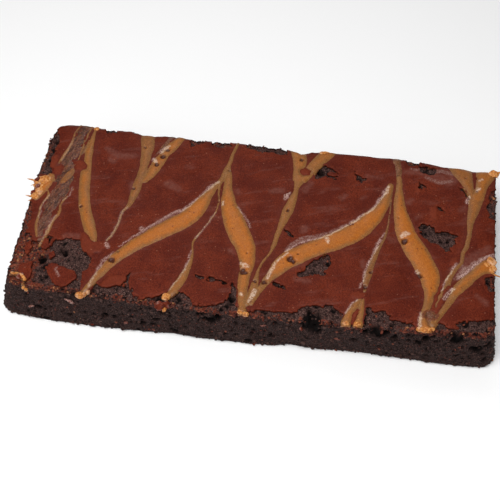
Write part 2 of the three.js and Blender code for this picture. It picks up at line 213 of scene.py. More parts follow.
@dataclass(frozen=True)
class SlabPlan:
    """Outline and height of the slab, cut by hand, so that each side wanders a little.

    A side is a line of points: how far along it, and how far out it lies there.
    """

    half_length: float = 77.0
    half_width: float = 34.0
    thickness: float = 18.5
    edge_slump: float = 0.45  # how much lower the top lies at its edges, over slump_reach
    slump_reach: float = 7.0
    rim_width: float = 1.1  # the crust's edge is worn round over this width
    rim_drop: float = 0.4
    wave_height: float = 0.2
    foot_height: float = 0.8  # below this the sides tuck in under the slab
    foot_tuck: float = 0.5
    radii: tuple[float, ...] = (3.6, 3.6, 5.0, 2.4)  # the two front corners, then the back ones
    crust: dict[str, tuple[Point, ...]] = field(
        default_factory=lambda: {
            "front": (
                (-77, -33.9), (-66, -33.9), (-33, -35), (-3, -35.4), (13, -34.7), (29, -35),
                (44, -34.2), (57, -33.5), (77, -32.6),
            ),
            "back": (
                (-77, 33.6), (-69, 34.3), (-60, 33.7), (-50, 33.7), (-46, 32.4), (-42, 32.5),
                (-38, 33.4), (-26, 32.9), (-14, 33.6), (2, 33.6), (6, 32.8), (10, 31.2),
                (14, 33), (26, 33.8), (46, 33.9), (54, 33.3), (62, 32.3), (70, 31.8), (77, 31.9),
            ),
            "left": ((-34, -76.8), (-20, -77.2), (5, -77.7), (25, -77.8), (34, -77.3)),
            "right": ((-34, 75.3), (-10, 75.7), (10, 76), (34, 76.6)),
        }
    )
    base: dict[str, tuple[Point, ...]] = field(
        default_factory=lambda: {
            "front": (
                (-77, -34.1), (-70, -35), (-62, -35.9), (-46, -36), (-30, -35.8),
                (-22, -35.2), (-14, -35.7), (2, -35.5), (10, -35), (14, -34), (22, -34.4),
                (34, -33.8), (50, -34), (62, -34.5), (77, -33.7),
            ),
            "back": ((-77, 34.6), (0, 34.9), (77, 34.2)),
            "left": ((-34, -81.4), (-24, -81.6), (-10, -80.9), (34, -79.8)),
            "right": ((-34, 78.8), (-20, 79.1), (34, 79)),
        }
    )

    @staticmethod
    def _follow(line: tuple[Point, ...], along: Array) -> Array:
        """How far out one line lies at each distance along it."""
        at, out = zip(*line)
        return np.interp(along, at, out)

    def side(self, name: str, along: Array, share: Array) -> Array:
        """How far out a side lies.

        Args:
            name: front, back, left or right.
            along: distance along the side.
            share: height as a share of the thickness.

        Returns:
            The side's x or y at each place.
        """
        low = self._follow(self.base[name], along)
        high = self._follow(self.crust[name], along)
        return low + (high - low) * share

    def inward(self, x: Array, y: Array) -> Array:
        """Distance from each point in to the crust's outline, less than 0 outside."""
        return np.minimum.reduce([
            x - self.side("left", y, 1.0),
            self.side("right", y, 1.0) - x,
            y - self.side("front", x, 1.0),
            self.side("back", x, 1.0) - y,
        ])

    def crust_height(self, x: Array, y: Array) -> Array:
        """Height of the crust: gently waved, slumped and worn at the edges."""
        inward = self.inward(x, y)
        slump = 1 - ease(inward, 0, self.slump_reach)
        rim = 1 - np.clip(inward / self.rim_width, 0, 1)
        waves = np.sin(x / 11 + y / 17) + 0.7 * np.sin(y / 7.5 - x / 23)
        level = self.thickness - self.edge_slump * slump**2 - self.rim_drop * rim
        return level + self.wave_height * waves * (1 - slump)

    def place(self, u: Array, v: Array, share: Array) -> tuple[Array, Array]:
        """Where points of a square plan lie on the slab.

        Args:
            u, v: places on the square plan, each from -1 to 1.
            share: height as a share of the thickness.

        Returns:
            x and y on the slab.
        """
        x, y = u * self.half_length, v * self.half_width
        radius = np.choose((y >= 0) * 2 + (x >= 0), self.radii)
        dx = np.maximum(np.abs(x) - (self.half_length - radius), 0)
        dy = np.maximum(np.abs(y) - (self.half_width - radius), 0)
        far = np.hypot(dx, dy)
        pull = np.where((dx > 0) & (dy > 0), np.maximum(dx, dy) / np.maximum(far, 1e-9), 1)
        x = np.where(dx > 0, np.sign(x) * (self.half_length - radius + dx * pull), x)
        y = np.where(dy > 0, np.sign(y) * (self.half_width - radius + dy * pull), y)
        tuck = self.foot_tuck * (share <= 0)
        left, right = self.side("left", y, share) + tuck, self.side("right", y, share) - tuck
        front, back = self.side("front", x, share) + tuck, self.side("back", x, share) - tuck
        across = (x / self.half_length + 1) / 2
        deep = (y / self.half_width + 1) / 2
        return left + (right - left) * across, front + (back - front) * deep


# Strokes and patches drawn on the plan

@dataclass(frozen=True)
class Stroke:
    """A smooth line on the plan that changes its width along its run.

    Attributes:
        stations: x, y and width where the run or the width changes.
        murk: 0 for clear caramel, 1 for a film stained by the crumb under it; how faint it
            is where it is a wash of colour.
        glow: how bright it is, or None where its width says so.
    """

    stations: tuple[Station, ...]
    murk: float = 0.0
    glow: float | None = None
    thinnest: ClassVar[float] = 0.2  # no part of a stroke is drawn thinner

    def samples(self, step: float = 0.3) -> Array:
        """The line as close points: a centripetal curve through the stations.

        Args:
            step: distance between two points in millimetres.

        Returns:
            x, y and width of each point, one a row.
        """
        p = np.array(self.stations, float)
        p = np.vstack([2 * p[0] - p[1], p, 2 * p[-1] - p[-2]])
        rows = []
        for a, b, c, d in zip(p[:-3], p[1:-2], p[2:-1], p[3:]):
            t0, t1, t2 = (max(np.linalg.norm(e) ** 0.5, 1e-4) for e in (b - a, c - b, d - c))
            start = ((b - a) / t0 - (c - a) / (t0 + t1) + (c - b) / t1) * t1
            end = ((c - b) / t1 - (d - b) / (t1 + t2) + (d - c) / t2) * t1
            count = max(2, int(np.linalg.norm((c - b)[:2]) / step) + 1)
            t = np.linspace(0, 1, count, endpoint=False)[:, None]
            rows.append(
                b + start * t + (-3 * b + 3 * c - 2 * start - end) * t**2
                + (2 * b - 2 * c + start + end) * t**3
            )
        rows.append(p[-2:-1])
        return np.vstack(rows)

    def near(self, x: Array, y: Array, margin: float) -> tuple[Array, Array, Array, Array]:
        """Where points lie on this stroke.

        Args:
            x, y: the points.
            margin: how far outside the stroke they still count.

        Returns:
            The indices of the points near it, how deep inside its edge each lies, the stroke's
            width there, and the side: 1 on its left hand as it runs, -1 on its right.
        """
        line = self.samples()
        half = np.maximum(line[:, 2], self.thinnest) / 2
        reach = half.max() + margin
        (low_x, low_y), (high_x, high_y) = line[:, :2].min(0) - reach, line[:, :2].max(0) + reach
        index = np.nonzero((x > low_x) & (x < high_x) & (y > low_y) & (y < high_y))[0]
        if not len(index):
            return index, np.zeros(0), np.zeros(0), np.zeros(0)
        ahead = np.gradient(line[:, :2], axis=0)
        depth, width, side = (np.empty(len(index)) for _ in range(3))
        block = 20000  # points taken at once, to spare memory
        for start in range(0, len(index), block):
            part = slice(start, start + block)
            dx = x[index[part], None] - line[None, :, 0]
            dy = y[index[part], None] - line[None, :, 1]
            inside = half[None, :] - np.hypot(dx, dy)
            best = inside.argmax(1)
            rows = np.arange(len(best))
            depth[part] = inside[rows, best]
            width[part] = 2 * half[best]
            turn = ahead[best, 0] * dy[rows, best] - ahead[best, 1] * dx[rows, best]
            side[part] = np.sign(turn)
        return index, depth, width, side


def depth_in_patch(outline: tuple[Point, ...], x: Array, y: Array) -> Array:
    """How deep points lie inside a closed outline, less than 0 outside it.

    Args:
        outline: its corners.
        x, y: the points.

    Returns:
        One depth for each point.
    """
    nearest = np.full(len(x), 1e9)
    inside = np.zeros(len(x), bool)
    for (ax, ay), (bx, by) in zip(outline, outline[1:] + outline[:1]):
        ex, ey = bx - ax, by - ay
        t = np.clip(((x - ax) * ex + (y - ay) * ey) / (ex * ex + ey * ey), 0, 1)
        nearest = np.minimum(nearest, np.hypot(x - ax - t * ex, y - ay - t * ey))
        if ay != by:
            crosses = ((ay > y) != (by > y)) & (x < ex * (y - ay) / ey + ax)
            inside ^= crosses
    return np.where(inside, nearest, -nearest)


def deepest(outlines: tuple[tuple[Point, ...], ...], x: Array, y: Array) -> Array:
    """How deep each point lies inside the nearest of some outlines."""
    return np.maximum.reduce([depth_in_patch(outline, x, y) for outline in outlines])


class Ground(Enum):
    """What shows where the crust is missing."""

    CLEAN = "clean crumb"
    RUBBLE = "crumb under a litter of browned bits"


@dataclass(frozen=True)
class Tear:
    """A place where the crust has broken away."""

    outline: tuple[Point, ...]
    ground: Ground = Ground.CLEAN
    grow: float = 0.0  # how far it opens beyond its outline


# What is drawn on the slab, in millimetres on the plan, from its left end to its right

# Bands and threads of caramel
RIBBONS = (
    # left end: the smear, the pool at the edge, threads and spots
    Stroke((
        (-66.4, 38, 4.4), (-66.8, 33, 4.4), (-67.3, 27, 4.6), (-68.1, 20, 5.6), (-68.9, 15, 5.9),
        (-68.2, 10, 6.8), (-68.3, 4, 7.6), (-69.3, -1, 6.4), (-70.1, -5.5, 5.2), (-70.3, -11.1, 4.2),
        (-70.3, -16, 2.2),
    ), murk=1.0, glow=0.1),
    Stroke(((-73.2, 9.6, 3), (-74.5, 6.6, 5.6), (-75.3, 3.2, 5), (-75.6, 0, 2.6)), glow=0.95),
    Stroke((
        (-68.6, 37, 0.8), (-68.9, 33.5, 0.8), (-69.6, 30, 0.8), (-69.8, 24.6, 0.9), (-71, 19.7, 1.2),
        (-71.9, 15.6, 1),
    ), glow=0.45),
    Stroke((
        (-64.3, 38, 0.7), (-64.6, 32.7, 0.8), (-65.1, 26.5, 0.8), (-65.4, 19.2, 0.7), (-66.1, 15.2, 0.6),
    ), glow=0.2),
    Stroke(((-66.2, 13.4, 1.3), (-67.2, 10.6, 2.4), (-68.4, 7.6, 1.6)), murk=0.35, glow=0.15),
    Stroke((
        (-64.9, 10.2, 0.5), (-63.8, 6.3, 0.7), (-64.9, 2.6, 0.6), (-66.2, -0.4, 0.7), (-66.6, -2.4, 0.9),
        (-66.3, -5.2, 1.7), (-67.4, -8.5, 1.3), (-67.9, -12.2, 1.6), (-68.4, -15.3, 1.2), (-69.4, -19, 0.9),
    ), glow=0.4),
    Stroke((
        (-72.6, 3.6, 0.7), (-71.9, 1.6, 1), (-73.1, -2.8, 0.8), (-72.9, -7, 0.9), (-72.6, -11.4, 1),
        (-71.3, -15.6, 0.8),
    ), glow=0.2),
    Stroke((
        (-75.6, -30.9, 0.9), (-74, -30.4, 1.5), (-72.4, -30.9, 1.8), (-70.9, -32, 1.4),
    ), murk=0.2, glow=0.6),
    Stroke(((-70.9, -33.8, 1.2), (-70.2, -35.4, 1.8), (-69.8, -37, 1.6)), glow=0.5),
    Stroke(((-63.9, 27, 0.9), (-64.4, 23.5, 1.3), (-64.8, 20.5, 0.8)), murk=0.5, glow=0.2),
    # first strand
    Stroke((
        (-63, 38, 1), (-63, 31.6, 1.2), (-62.9, 27.5, 1.9), (-62.7, 21.5, 3.2), (-62.1, 17.1, 3.5),
        (-61.4, 10.7, 4.2), (-60.6, 5.8, 4.2), (-59.5, 1.1, 4.4), (-57.7, -4.1, 4.4), (-55.8, -8.1, 4.6),
        (-53.7, -12.4, 4), (-52, -15.6, 2),
    ), glow=0.5),
    # second strand and its fork
    Stroke((
        (-44.8, 38, 6.4), (-43.8, 30.2, 5.4), (-43.1, 26.2, 4.8), (-42.9, 22.3, 4.1), (-42.8, 17.8, 3.5),
        (-43, 13.3, 3.3), (-43.2, 8.9, 3.6), (-43.5, 4.5, 3.2), (-44.1, 1, 1.9), (-45.6, -2.3, 1.2),
        (-45.8, -5.4, 1.1), (-46.3, -9.1, 1.2), (-47.2, -12.3, 1.1), (-48.3, -14.4, 0.9),
    ), murk=0.2, glow=0.3),
    Stroke(((-34.4, 38, 2), (-36, 32.6, 2.2), (-38.2, 27.6, 1.2), (-39.8, 23.8, 0.7)), murk=0.85, glow=0.2),
    Stroke((
        (-31.2, 38, 3.8), (-33, 31.8, 3.6), (-34.9, 28.2, 4.2), (-36.8, 24.6, 3.7), (-38, 21.3, 4.5),
        (-39, 17.9, 4.6), (-39.9, 14.9, 3.9), (-41.2, 12, 2.6),
    ), glow=0.55),
    # long leaf and the thread off its stem
    Stroke((
        (-53.2, -38, 1.9), (-49.2, -30.2, 2.6), (-46.6, -25.2, 3.3), (-44.5, -21.3, 4.1),
        (-40.6, -16.6, 4.9), (-34.8, -10.9, 6), (-28.5, -5.5, 7), (-23.6, -0.9, 6.9), (-20.9, 3.8, 5.9),
        (-19.1, 8.5, 3.9), (-17.3, 12.7, 2.6), (-15.7, 15.4, 2.2), (-14.8, 19.9, 2), (-13.9, 23.2, 1.9),
        (-13.4, 27.8, 1.5), (-12.4, 33.3, 1.2), (-12.2, 38, 1.2),
    )),
    Stroke((
        (-15.7, 15, 0.9), (-15.5, 10.1, 1), (-14.9, 6.8, 0.9), (-15.3, 2.1, 0.8), (-17.4, -3.3, 0.7),
        (-19, -6.7, 0.8), (-19.8, -8.6, 1), (-20.6, -10.8, 1), (-20.4, -12.8, 0.9), (-20, -14.9, 0.9),
        (-20.1, -18.9, 1.7), (-21, -23.4, 2.8), (-22.3, -27.6, 3.4), (-23.4, -30.2, 3.2), (-24.6, -32, 2.2),
    ), glow=0.3),
    # short leaf
    Stroke((
        (-13.8, 22.6, 1.2), (-13.7, 20.6, 2), (-13.4, 18.1, 2.7), (-13, 14.4, 3), (-12.5, 10.7, 4.1),
        (-11.7, 6.6, 5.4), (-10.4, 3, 6.8), (-9.1, 0, 7.4), (-6.4, -5.2, 7.7), (-3.8, -10, 7),
        (-2.3, -15, 5.6), (-2.2, -20, 4.4), (-2.3, -25, 3.9), (-1.9, -29.6, 3.3), (-0.4, -39, 2.4),
    )),
    # centre strand and its forks
    Stroke((
        (-0.2, -31.5, 2.4), (0.9, -27.6, 3), (1.3, -24.3, 2.6), (1.6, -20.5, 1.6), (1.8, -18.3, 1.1),
        (2.7, -15.4, 1), (4.5, -11.7, 1), (5.4, -8.3, 1.7), (6, -4.4, 2.1), (6.7, -1, 2.4), (7.5, 2.6, 3.2),
        (8.2, 5.7, 3.9), (9.3, 10.6, 3), (9.9, 13.6, 2.1), (10, 16, 2.3), (10.6, 19.5, 4.1), (11.2, 22, 5.6),
    ), glow=0.2),
    Stroke((
        (9.4, 19.4, 2.6), (9.6, 22.6, 3.2), (10, 25.9, 4.8), (9.7, 29.1, 5.6), (9, 31.6, 5.8),
        (8.4, 38, 5.8),
    ), glow=0.35),
    Stroke((
        (11.9, 19.7, 3.2), (13.5, 23.1, 4.3), (15, 26.5, 4.5), (17, 30, 5.2), (19, 32.9, 5.3),
        (21.6, 38, 5.3),
    ), glow=0.35),
    # wide leaf, and the thread off its tip with two feet
    Stroke((
        (1.3, -31.5, 1.6), (3.3, -25.8, 2.3), (6, -20.4, 3.9), (9.3, -15, 6.4), (14.2, -10.9, 7.1),
        (20.1, -7, 7), (26, -3.4, 7.5), (31.9, 1.5, 7.6), (35.8, 6.6, 6.4), (38.7, 11.2, 4.8),
        (40.4, 16.2, 3.4), (41.3, 21.4, 2.7),
    )),
    Stroke((
        (42, 18, 0.8), (41.7, 10, 0.8), (41.4, 4.6, 0.9), (40.5, -0.9, 1.1), (39.6, -3.4, 1.3),
        (38.7, -5.9, 1.7), (37.8, -9.4, 2), (36.9, -12.6, 2.4), (36.3, -16, 2.6), (35.8, -19.2, 2.3),
        (35.6, -22, 1.5), (35.5, -24.4, 0.9),
    ), murk=0.25, glow=0.3),
    Stroke((
        (34.5, -25.4, 1.2), (33.3, -27.6, 2.4), (32, -30.2, 2.9), (30.9, -33.4, 3), (30.4, -37, 2.4),
    ), glow=0.5),
    Stroke(((35.4, -25.2, 0.8), (35.1, -28.4, 2), (34.6, -31.5, 2.9), (34.1, -37, 3.4)), glow=0.5),
    # right leaf and its foot
    Stroke((
        (42.8, 38, 3.2), (43, 32.7, 3.2), (43.4, 30.2, 2.9), (43.8, 27, 2.5), (44.2, 23.9, 2.4),
        (44.3, 21, 2.6),
    ), murk=0.65, glow=0.25),
    Stroke((
        (44, 25, 1.4), (44.3, 20, 2.9), (44.6, 15.3, 4), (45.2, 10.5, 5), (46.3, 6.4, 6.3), (47.6, 2, 7.2),
        (50.1, -3, 7.9), (52.9, -8.2, 7.9), (55.1, -13, 7.4), (56, -17.5, 5.8), (55.8, -21.4, 3.9),
        (55.1, -25, 3.1), (54.4, -28.2, 2.9), (54.2, -30.8, 3.6), (54.8, -34, 4.4), (54.8, -38, 4.4),
    )),
    Stroke(((56.9, -26.2, 1.4), (56.3, -28.2, 3.6), (56.6, -30.6, 2.6)), murk=0.5, glow=0.3),
    # right thread and its forks
    Stroke((
        (57, -25.4, 1.6), (58.4, -21.9, 1.7), (59.8, -19.1, 2.2), (60.9, -16.5, 2.5), (61.4, -14.1, 2.3),
        (63.2, -10.4, 1.8), (65.3, -7, 1.5), (65.7, -3.5, 1.8), (66.9, -0.6, 1.8), (67.2, 1.6, 1.7),
        (67.7, 4.3, 1.8), (67.8, 6.6, 2.1), (68.2, 10.8, 3), (68.9, 13.8, 4), (69.5, 17.6, 5),
        (70.1, 20.1, 5.4),
    ), murk=0.15, glow=0.3),
    Stroke((
        (68.6, 19.6, 2.4), (67.8, 22.6, 3.2), (66.8, 25.2, 4.4), (65.6, 28.9, 6.4), (65, 31, 7.6),
        (63.6, 36, 8.4),
    ), murk=0.15, glow=0.35),
    Stroke((
        (70.8, 20.4, 3.8), (71.7, 24.9, 4.5), (72.6, 28.5, 5.8), (73.2, 31.1, 7.2), (74.6, 36, 8),
    ), glow=0.55),
    # corner leaf
    Stroke((
        (57.3, -31.2, 2.2), (58.6, -28.4, 2.2), (59.9, -25.9, 2.4), (61.3, -23.4, 2.6), (62.8, -20.2, 3),
        (64.6, -17.1, 3.8), (66.4, -14.7, 4.2), (68.4, -12.4, 4), (70.3, -10.1, 4.2), (72.4, -8, 4.8),
        (75.6, -6.7, 6.6), (80, -6.3, 7),
    )),
)

# Bits of crust that lie over the caramel
FLAKES = (
    ((-66.4, 16.9), (-64.6, 17.7), (-62.5, 16.3), (-62, 14.4), (-64, 13.6), (-65.4, 14)),
    (
        (-57.3, -12.6), (-55.6, -12.6), (-54, -14.3), (-52.2, -15.8), (-50.4, -15.4), (-48.2, -14.6),
        (-47.2, -15.4), (-48.1, -17.2), (-49.5, -18.7), (-51.1, -19.5), (-51.8, -20.7), (-54.3, -19.9),
        (-56, -18.6), (-56.2, -15.6),
    ),
    ((-72.8, 13.6), (-71.4, 14.8), (-70.2, 13.8), (-70.6, 11.4), (-72.2, 10.9)),
    ((10.8, 23.8), (11.6, 24.9), (13.8, 23.8), (13.6, 22.2), (12.2, 21.9), (10.8, 22.3)),
    ((31.6, -23.2), (33.8, -22.8), (36, -23.2), (35.6, -24.8), (33, -25.2), (31.6, -24.6)),
    ((54.6, 14.2), (56.7, 14.4), (57, 9.2), (55.2, 8.4)),
    (
        (-47.2, -31.8), (-45.8, -29.3), (-44.2, -27.9), (-41.1, -27), (-39.6, -26.4), (-38.9, -28),
        (-38.8, -29.2), (-39.3, -30.7), (-42.6, -30.9), (-45.1, -32),
    ),
    ((-75.4, 18), (-73, 19), (-72.4, 16), (-73, 13.4), (-74.6, 13.4)),
    ((49.8, 20.4), (50.2, 24), (51.2, 23), (51.4, 20.4), (50.8, 18.8)),
    ((62.2, -6), (64, -5.2), (64.2, -7.6), (63, -9.4), (61.6, -8)),
    ((60.4, 4.2), (62, 5), (63.2, 3.6), (62.2, 2.8)),
    ((33.6, -29.2), (34.1, -29.4), (33.3, -32.2), (32.7, -35.4), (32, -35.4), (32.7, -32)),
    (
        (60.9, -16.9), (61.7, -16.6), (60.2, -21.4), (58.5, -25.4), (57.5, -27), (57.2, -26.6),
        (58.1, -24.6), (59.4, -21.4),
    ),
    ((59.3, -15.6), (59.9, -15.8), (58, -21.3), (56.7, -26.2), (56.1, -26.2), (57.3, -21.5)),
)

# Pale lines and dabs, mostly along the ribbons' upper edges and by the craters: a pale lip, partly real and
# partly painted highlight
BLOOM_AND_HIGHLIGHT = (
    Stroke((
        (-43.7, -15.9, 0.4), (-41.5, -13.3, 0.6), (-38.9, -10.5, 0.6), (-36.2, -7.5, 0.6),
        (-33.7, -4.7, 0.6), (-30.9, -1.8, 0.7), (-28, 0.6, 0.9), (-25.9, 1.6, 1.5), (-24.2, 3.9, 1.3),
        (-21.9, 7.4, 0.9), (-20.2, 10.2, 0.9), (-18, 12.9, 1.9), (-16.4, 14.7, 1.1),
    ), murk=0.25),
    Stroke(((-62, -27, 0.7), (-61.3, -28, 0.9), (-60.5, -29.6, 0.6)), murk=0.3),
    Stroke(((-38.2, -8.4, 1.8), (-37.4, -7.4, 1.2)), murk=0.3),
    Stroke((
        (-50, -31.8, 1.2), (-48.8, -27, 0.8), (-48, -24, 1.9), (-47, -21, 1.2), (-45, -18.6, 0.6),
    ), murk=0.4),
    Stroke(((-48, -15.6, 1.4), (-47.5, -16.6, 1.2))),
    Stroke((
        (-20.6, -14, 0.3), (-21, -19, 0.7), (-21.9, -24, 0.5), (-23.6, -27.5, 0.4), (-24.8, -30.5, 0.3),
    ), murk=0.15),
    Stroke((
        (9.6, -10.2, 0.6), (12.6, -7.3, 0.5), (16.2, -5.2, 0.5), (19.8, -3.7, 0.6), (23, -2, 0.7),
        (26.6, 1.2, 0.8), (30, 4.4, 0.8), (33, 7.6, 0.9), (35.4, 9.9, 1), (36.9, 12.4, 0.9),
        (38.8, 16.4, 1.1), (40.1, 19, 2), (40.7, 20.8, 1.3),
    )),
    Stroke(((22.2, -4, 2), (22.8, -5.4, 1.2))),
    Stroke(((5, -21.5, 1), (6, -18, 1.1), (7, -15, 0.9), (9, -12.3, 0.9), (10.4, -10.8, 0.6))),
    Stroke((
        (40.4, 1.4, 0.3), (39.4, -1, 0.5), (38.6, -3.4, 1), (37.8, -6.5, 0.7), (37, -9, 0.6), (36, -12, 0.7),
        (35, -15.4, 0.7), (34.6, -18.6, 0.6), (34.2, -21, 0.4),
    )),
    Stroke(((33.6, -25.8, 0.5), (31.8, -27.8, 0.5), (30.2, -31, 0.5))),
    Stroke(((-35.8, 28.3, 1), (-37.2, 27, 1.7), (-38.2, 25.6, 1.4))),
    Stroke(((-39.9, 22, 1.7), (-39, 20.8, 1.2))),
    Stroke(((-13.5, 6.5, 0.6), (-13.2, 5, 0.7))),
    Stroke(((-8.3, 5, 0.25), (-5, 1, 0.4), (-3, -2.6, 0.3))),
    Stroke(((-3.9, -17, 1.2), (-2.6, -17.6, 2), (-1.6, -18, 1))),
    Stroke(((-2.4, -28.6, 1.4), (-2, -29.2, 0.8))),
    Stroke(((1.8, -26.6, 1.8), (0.9, -29, 1.6), (0.4, -31, 0.8))),
    Stroke(((6.9, 10.4, 0.6), (7.4, 12, 1.7), (8.3, 13.2, 0.9))),
    Stroke(((46, 0.6, 1.6), (47.2, 1.6, 2), (48.4, 2.2, 1.2))),
    Stroke(((51.4, -12.4, 1.4), (52, -13.2, 0.9))),
    Stroke(((53.1, -27.6, 0.9), (52.9, -30, 1.2), (53.2, -32.4, 1.1)), murk=0.2),
    Stroke((
        (64.6, -13.2, 0.9), (66.2, -11.4, 1), (68.2, -8.9, 0.9), (70.4, -6.5, 0.8), (72.6, -4.4, 0.8),
        (75.6, -2.3, 0.9), (77.4, -1.2, 0.9),
    )),
    Stroke(((64.4, -12.4, 1.2), (66.2, -10, 2.6), (68.6, -8, 2.6), (71, -5.4, 1.6)), murk=0.6),
    Stroke(((60, -21.6, 0.8), (61.4, -19.4, 1.7), (62.8, -17.6, 1.2))),
    Stroke(((70.6, 23.6, 1.7), (69.8, 22.2, 0.9))),
    Stroke(((71.6, 27.8, 1), (71, 27, 0.7))),
    Stroke(((66.9, 17.4, 1.4), (67.4, 20, 1))),
    Stroke((
        (-44.4, 0, 0.5), (-45.7, -2.5, 0.7), (-46, -6, 0.7), (-46.5, -9.4, 0.8), (-47.4, -12.4, 0.7),
        (-48.2, -14, 0.6),
    ), murk=0.6),
    Stroke((
        (-67, -6.6, 0.9), (-67.9, -9, 1.1), (-68.3, -12.2, 1.1), (-68.8, -15.3, 0.9), (-69.4, -18.4, 0.6),
    ), murk=0.55),
    Stroke(((-64.4, 6, 0.35), (-64.9, 2.6, 0.4), (-66.4, -0.2, 0.4)), murk=0.3),
    Stroke(((-15.3, 2.1, 0.35), (-17.4, -3.3, 0.4), (-19, -6.8, 0.5), (-20, -9, 0.7)), murk=0.3),
    Stroke(((-71.6, 1.6, 0.4), (-72.8, -2.8, 0.3), (-72.5, -8, 0.3)), murk=0.3),
    Stroke(((-69.8, 26, 0.35), (-70.4, 21, 0.4), (-71.4, 17, 0.5)), murk=0.55),
    Stroke(((59.4, -18.4, 0.5), (61, -14, 0.5), (62.6, -10, 0.7), (63.6, -8, 0.5))),
)

# Painted sheen: pale grey patches on the crust where its dents and waves would catch the light
PAINTED_SHEEN = (
    Stroke(((-57, 24.6, 1), (-53, 22, 3), (-47, 22.6, 2))),
    Stroke(((-54.5, 20, 2.4), (-53.5, 19, 2))),
    Stroke(((-8, -12.5, 2.2), (-7, -13.4, 1.2))),
    Stroke(((-9.6, 11.8, 1.6), (-8.8, 11.2, 1))),
    Stroke(((2, 13.6, 2), (5.4, 14.2, 2.4))),
    Stroke(((14, -1, 2.8), (15, -0.4, 1.6))),
    Stroke(((25.4, 13.8, 2), (26.4, 14.8, 1))),
    Stroke(((13, 15, 2), (14.4, 18.6, 2))),
    Stroke(((32.4, 14.8, 1), (33, 15.4, 0.8))),
    Stroke(((34.2, -11.4, 1.8), (34.4, -13, 1.4))),
    Stroke(((42, -0.4, 1), (43.4, -1.2, 1.4))),
    Stroke(((47.6, 15, 1.8), (48.6, 16.2, 1))),
    Stroke(((65, 14.2, 1.8), (65.8, 15.4, 1))),
    Stroke(((50.2, 9, 0.7), (51.6, 10, 0.5))),
    Stroke(((-45, 10, 2.4), (-42.2, 4.4, 2))),
    Stroke(((-33, 12, 3), (-29, 10, 2))),
    Stroke(((-62, -14, 2), (-57.6, -14, 1.6))),
    Stroke(((14, -20.4, 1.8), (18, -21, 1))),
    Stroke(((46, 28, 1.6), (52.4, 28.4, 2.4), (57, 27.4, 3.4), (61.6, 26.2, 2), (61, 29, 3))),
    Stroke(((33, 24.6, 1.2), (38, 24.2, 1))),
    Stroke(((70, -19, 1), (73, -21, 1.6))),
    Stroke(((62.4, -11, 2.6), (65.4, -8.4, 3.2), (69, -4.6, 3.4), (74, -0.4, 3))),
    Stroke(((60.6, 24.4, 1.6), (63, 26.8, 1.8), (62, 29.6, 1.6))),
)

# Streaked pale film beside the ribbons, partly real and partly painted sheen
VEILS_AND_SHEEN = (
    Stroke((
        (9.8, -9.4, 1.2), (12, -6.8, 1.9), (14.6, -4.9, 2.2), (18.6, -3.4, 1.6), (22.6, -1.3, 1.4),
        (26.6, 1.6, 1.4), (30, 4.4, 1.3), (34, 8.4, 1.3), (37.4, 13, 1),
    )),
    Stroke((
        (-39, -11, 1.1), (-35.4, -7.3, 1.4), (-32.8, -4.6, 1.3), (-29.8, -1.5, 1.3), (-27, 0.5, 1.3),
        (-23.8, 3.4, 1), (-21, 8, 0.8),
    )),
    Stroke(((63.8, -13.4, 1.8), (66.4, -10.6, 2), (69, -7.6, 2), (72, -5, 2), (76, -2.8, 1.6))),
    Stroke(((63.2, -9.2, 2.2), (65.2, -8.4, 1.6), (66.4, -10.4, 1.4))),
    Stroke(((47.8, 29.6, 0.8), (53, 29.8, 1.4), (58.6, 30, 2.4), (61.8, 29.4, 1.8))),
    Stroke(((53, 26.4, 1), (58, 25, 1.6), (61.4, 25.8, 1.4))),
)

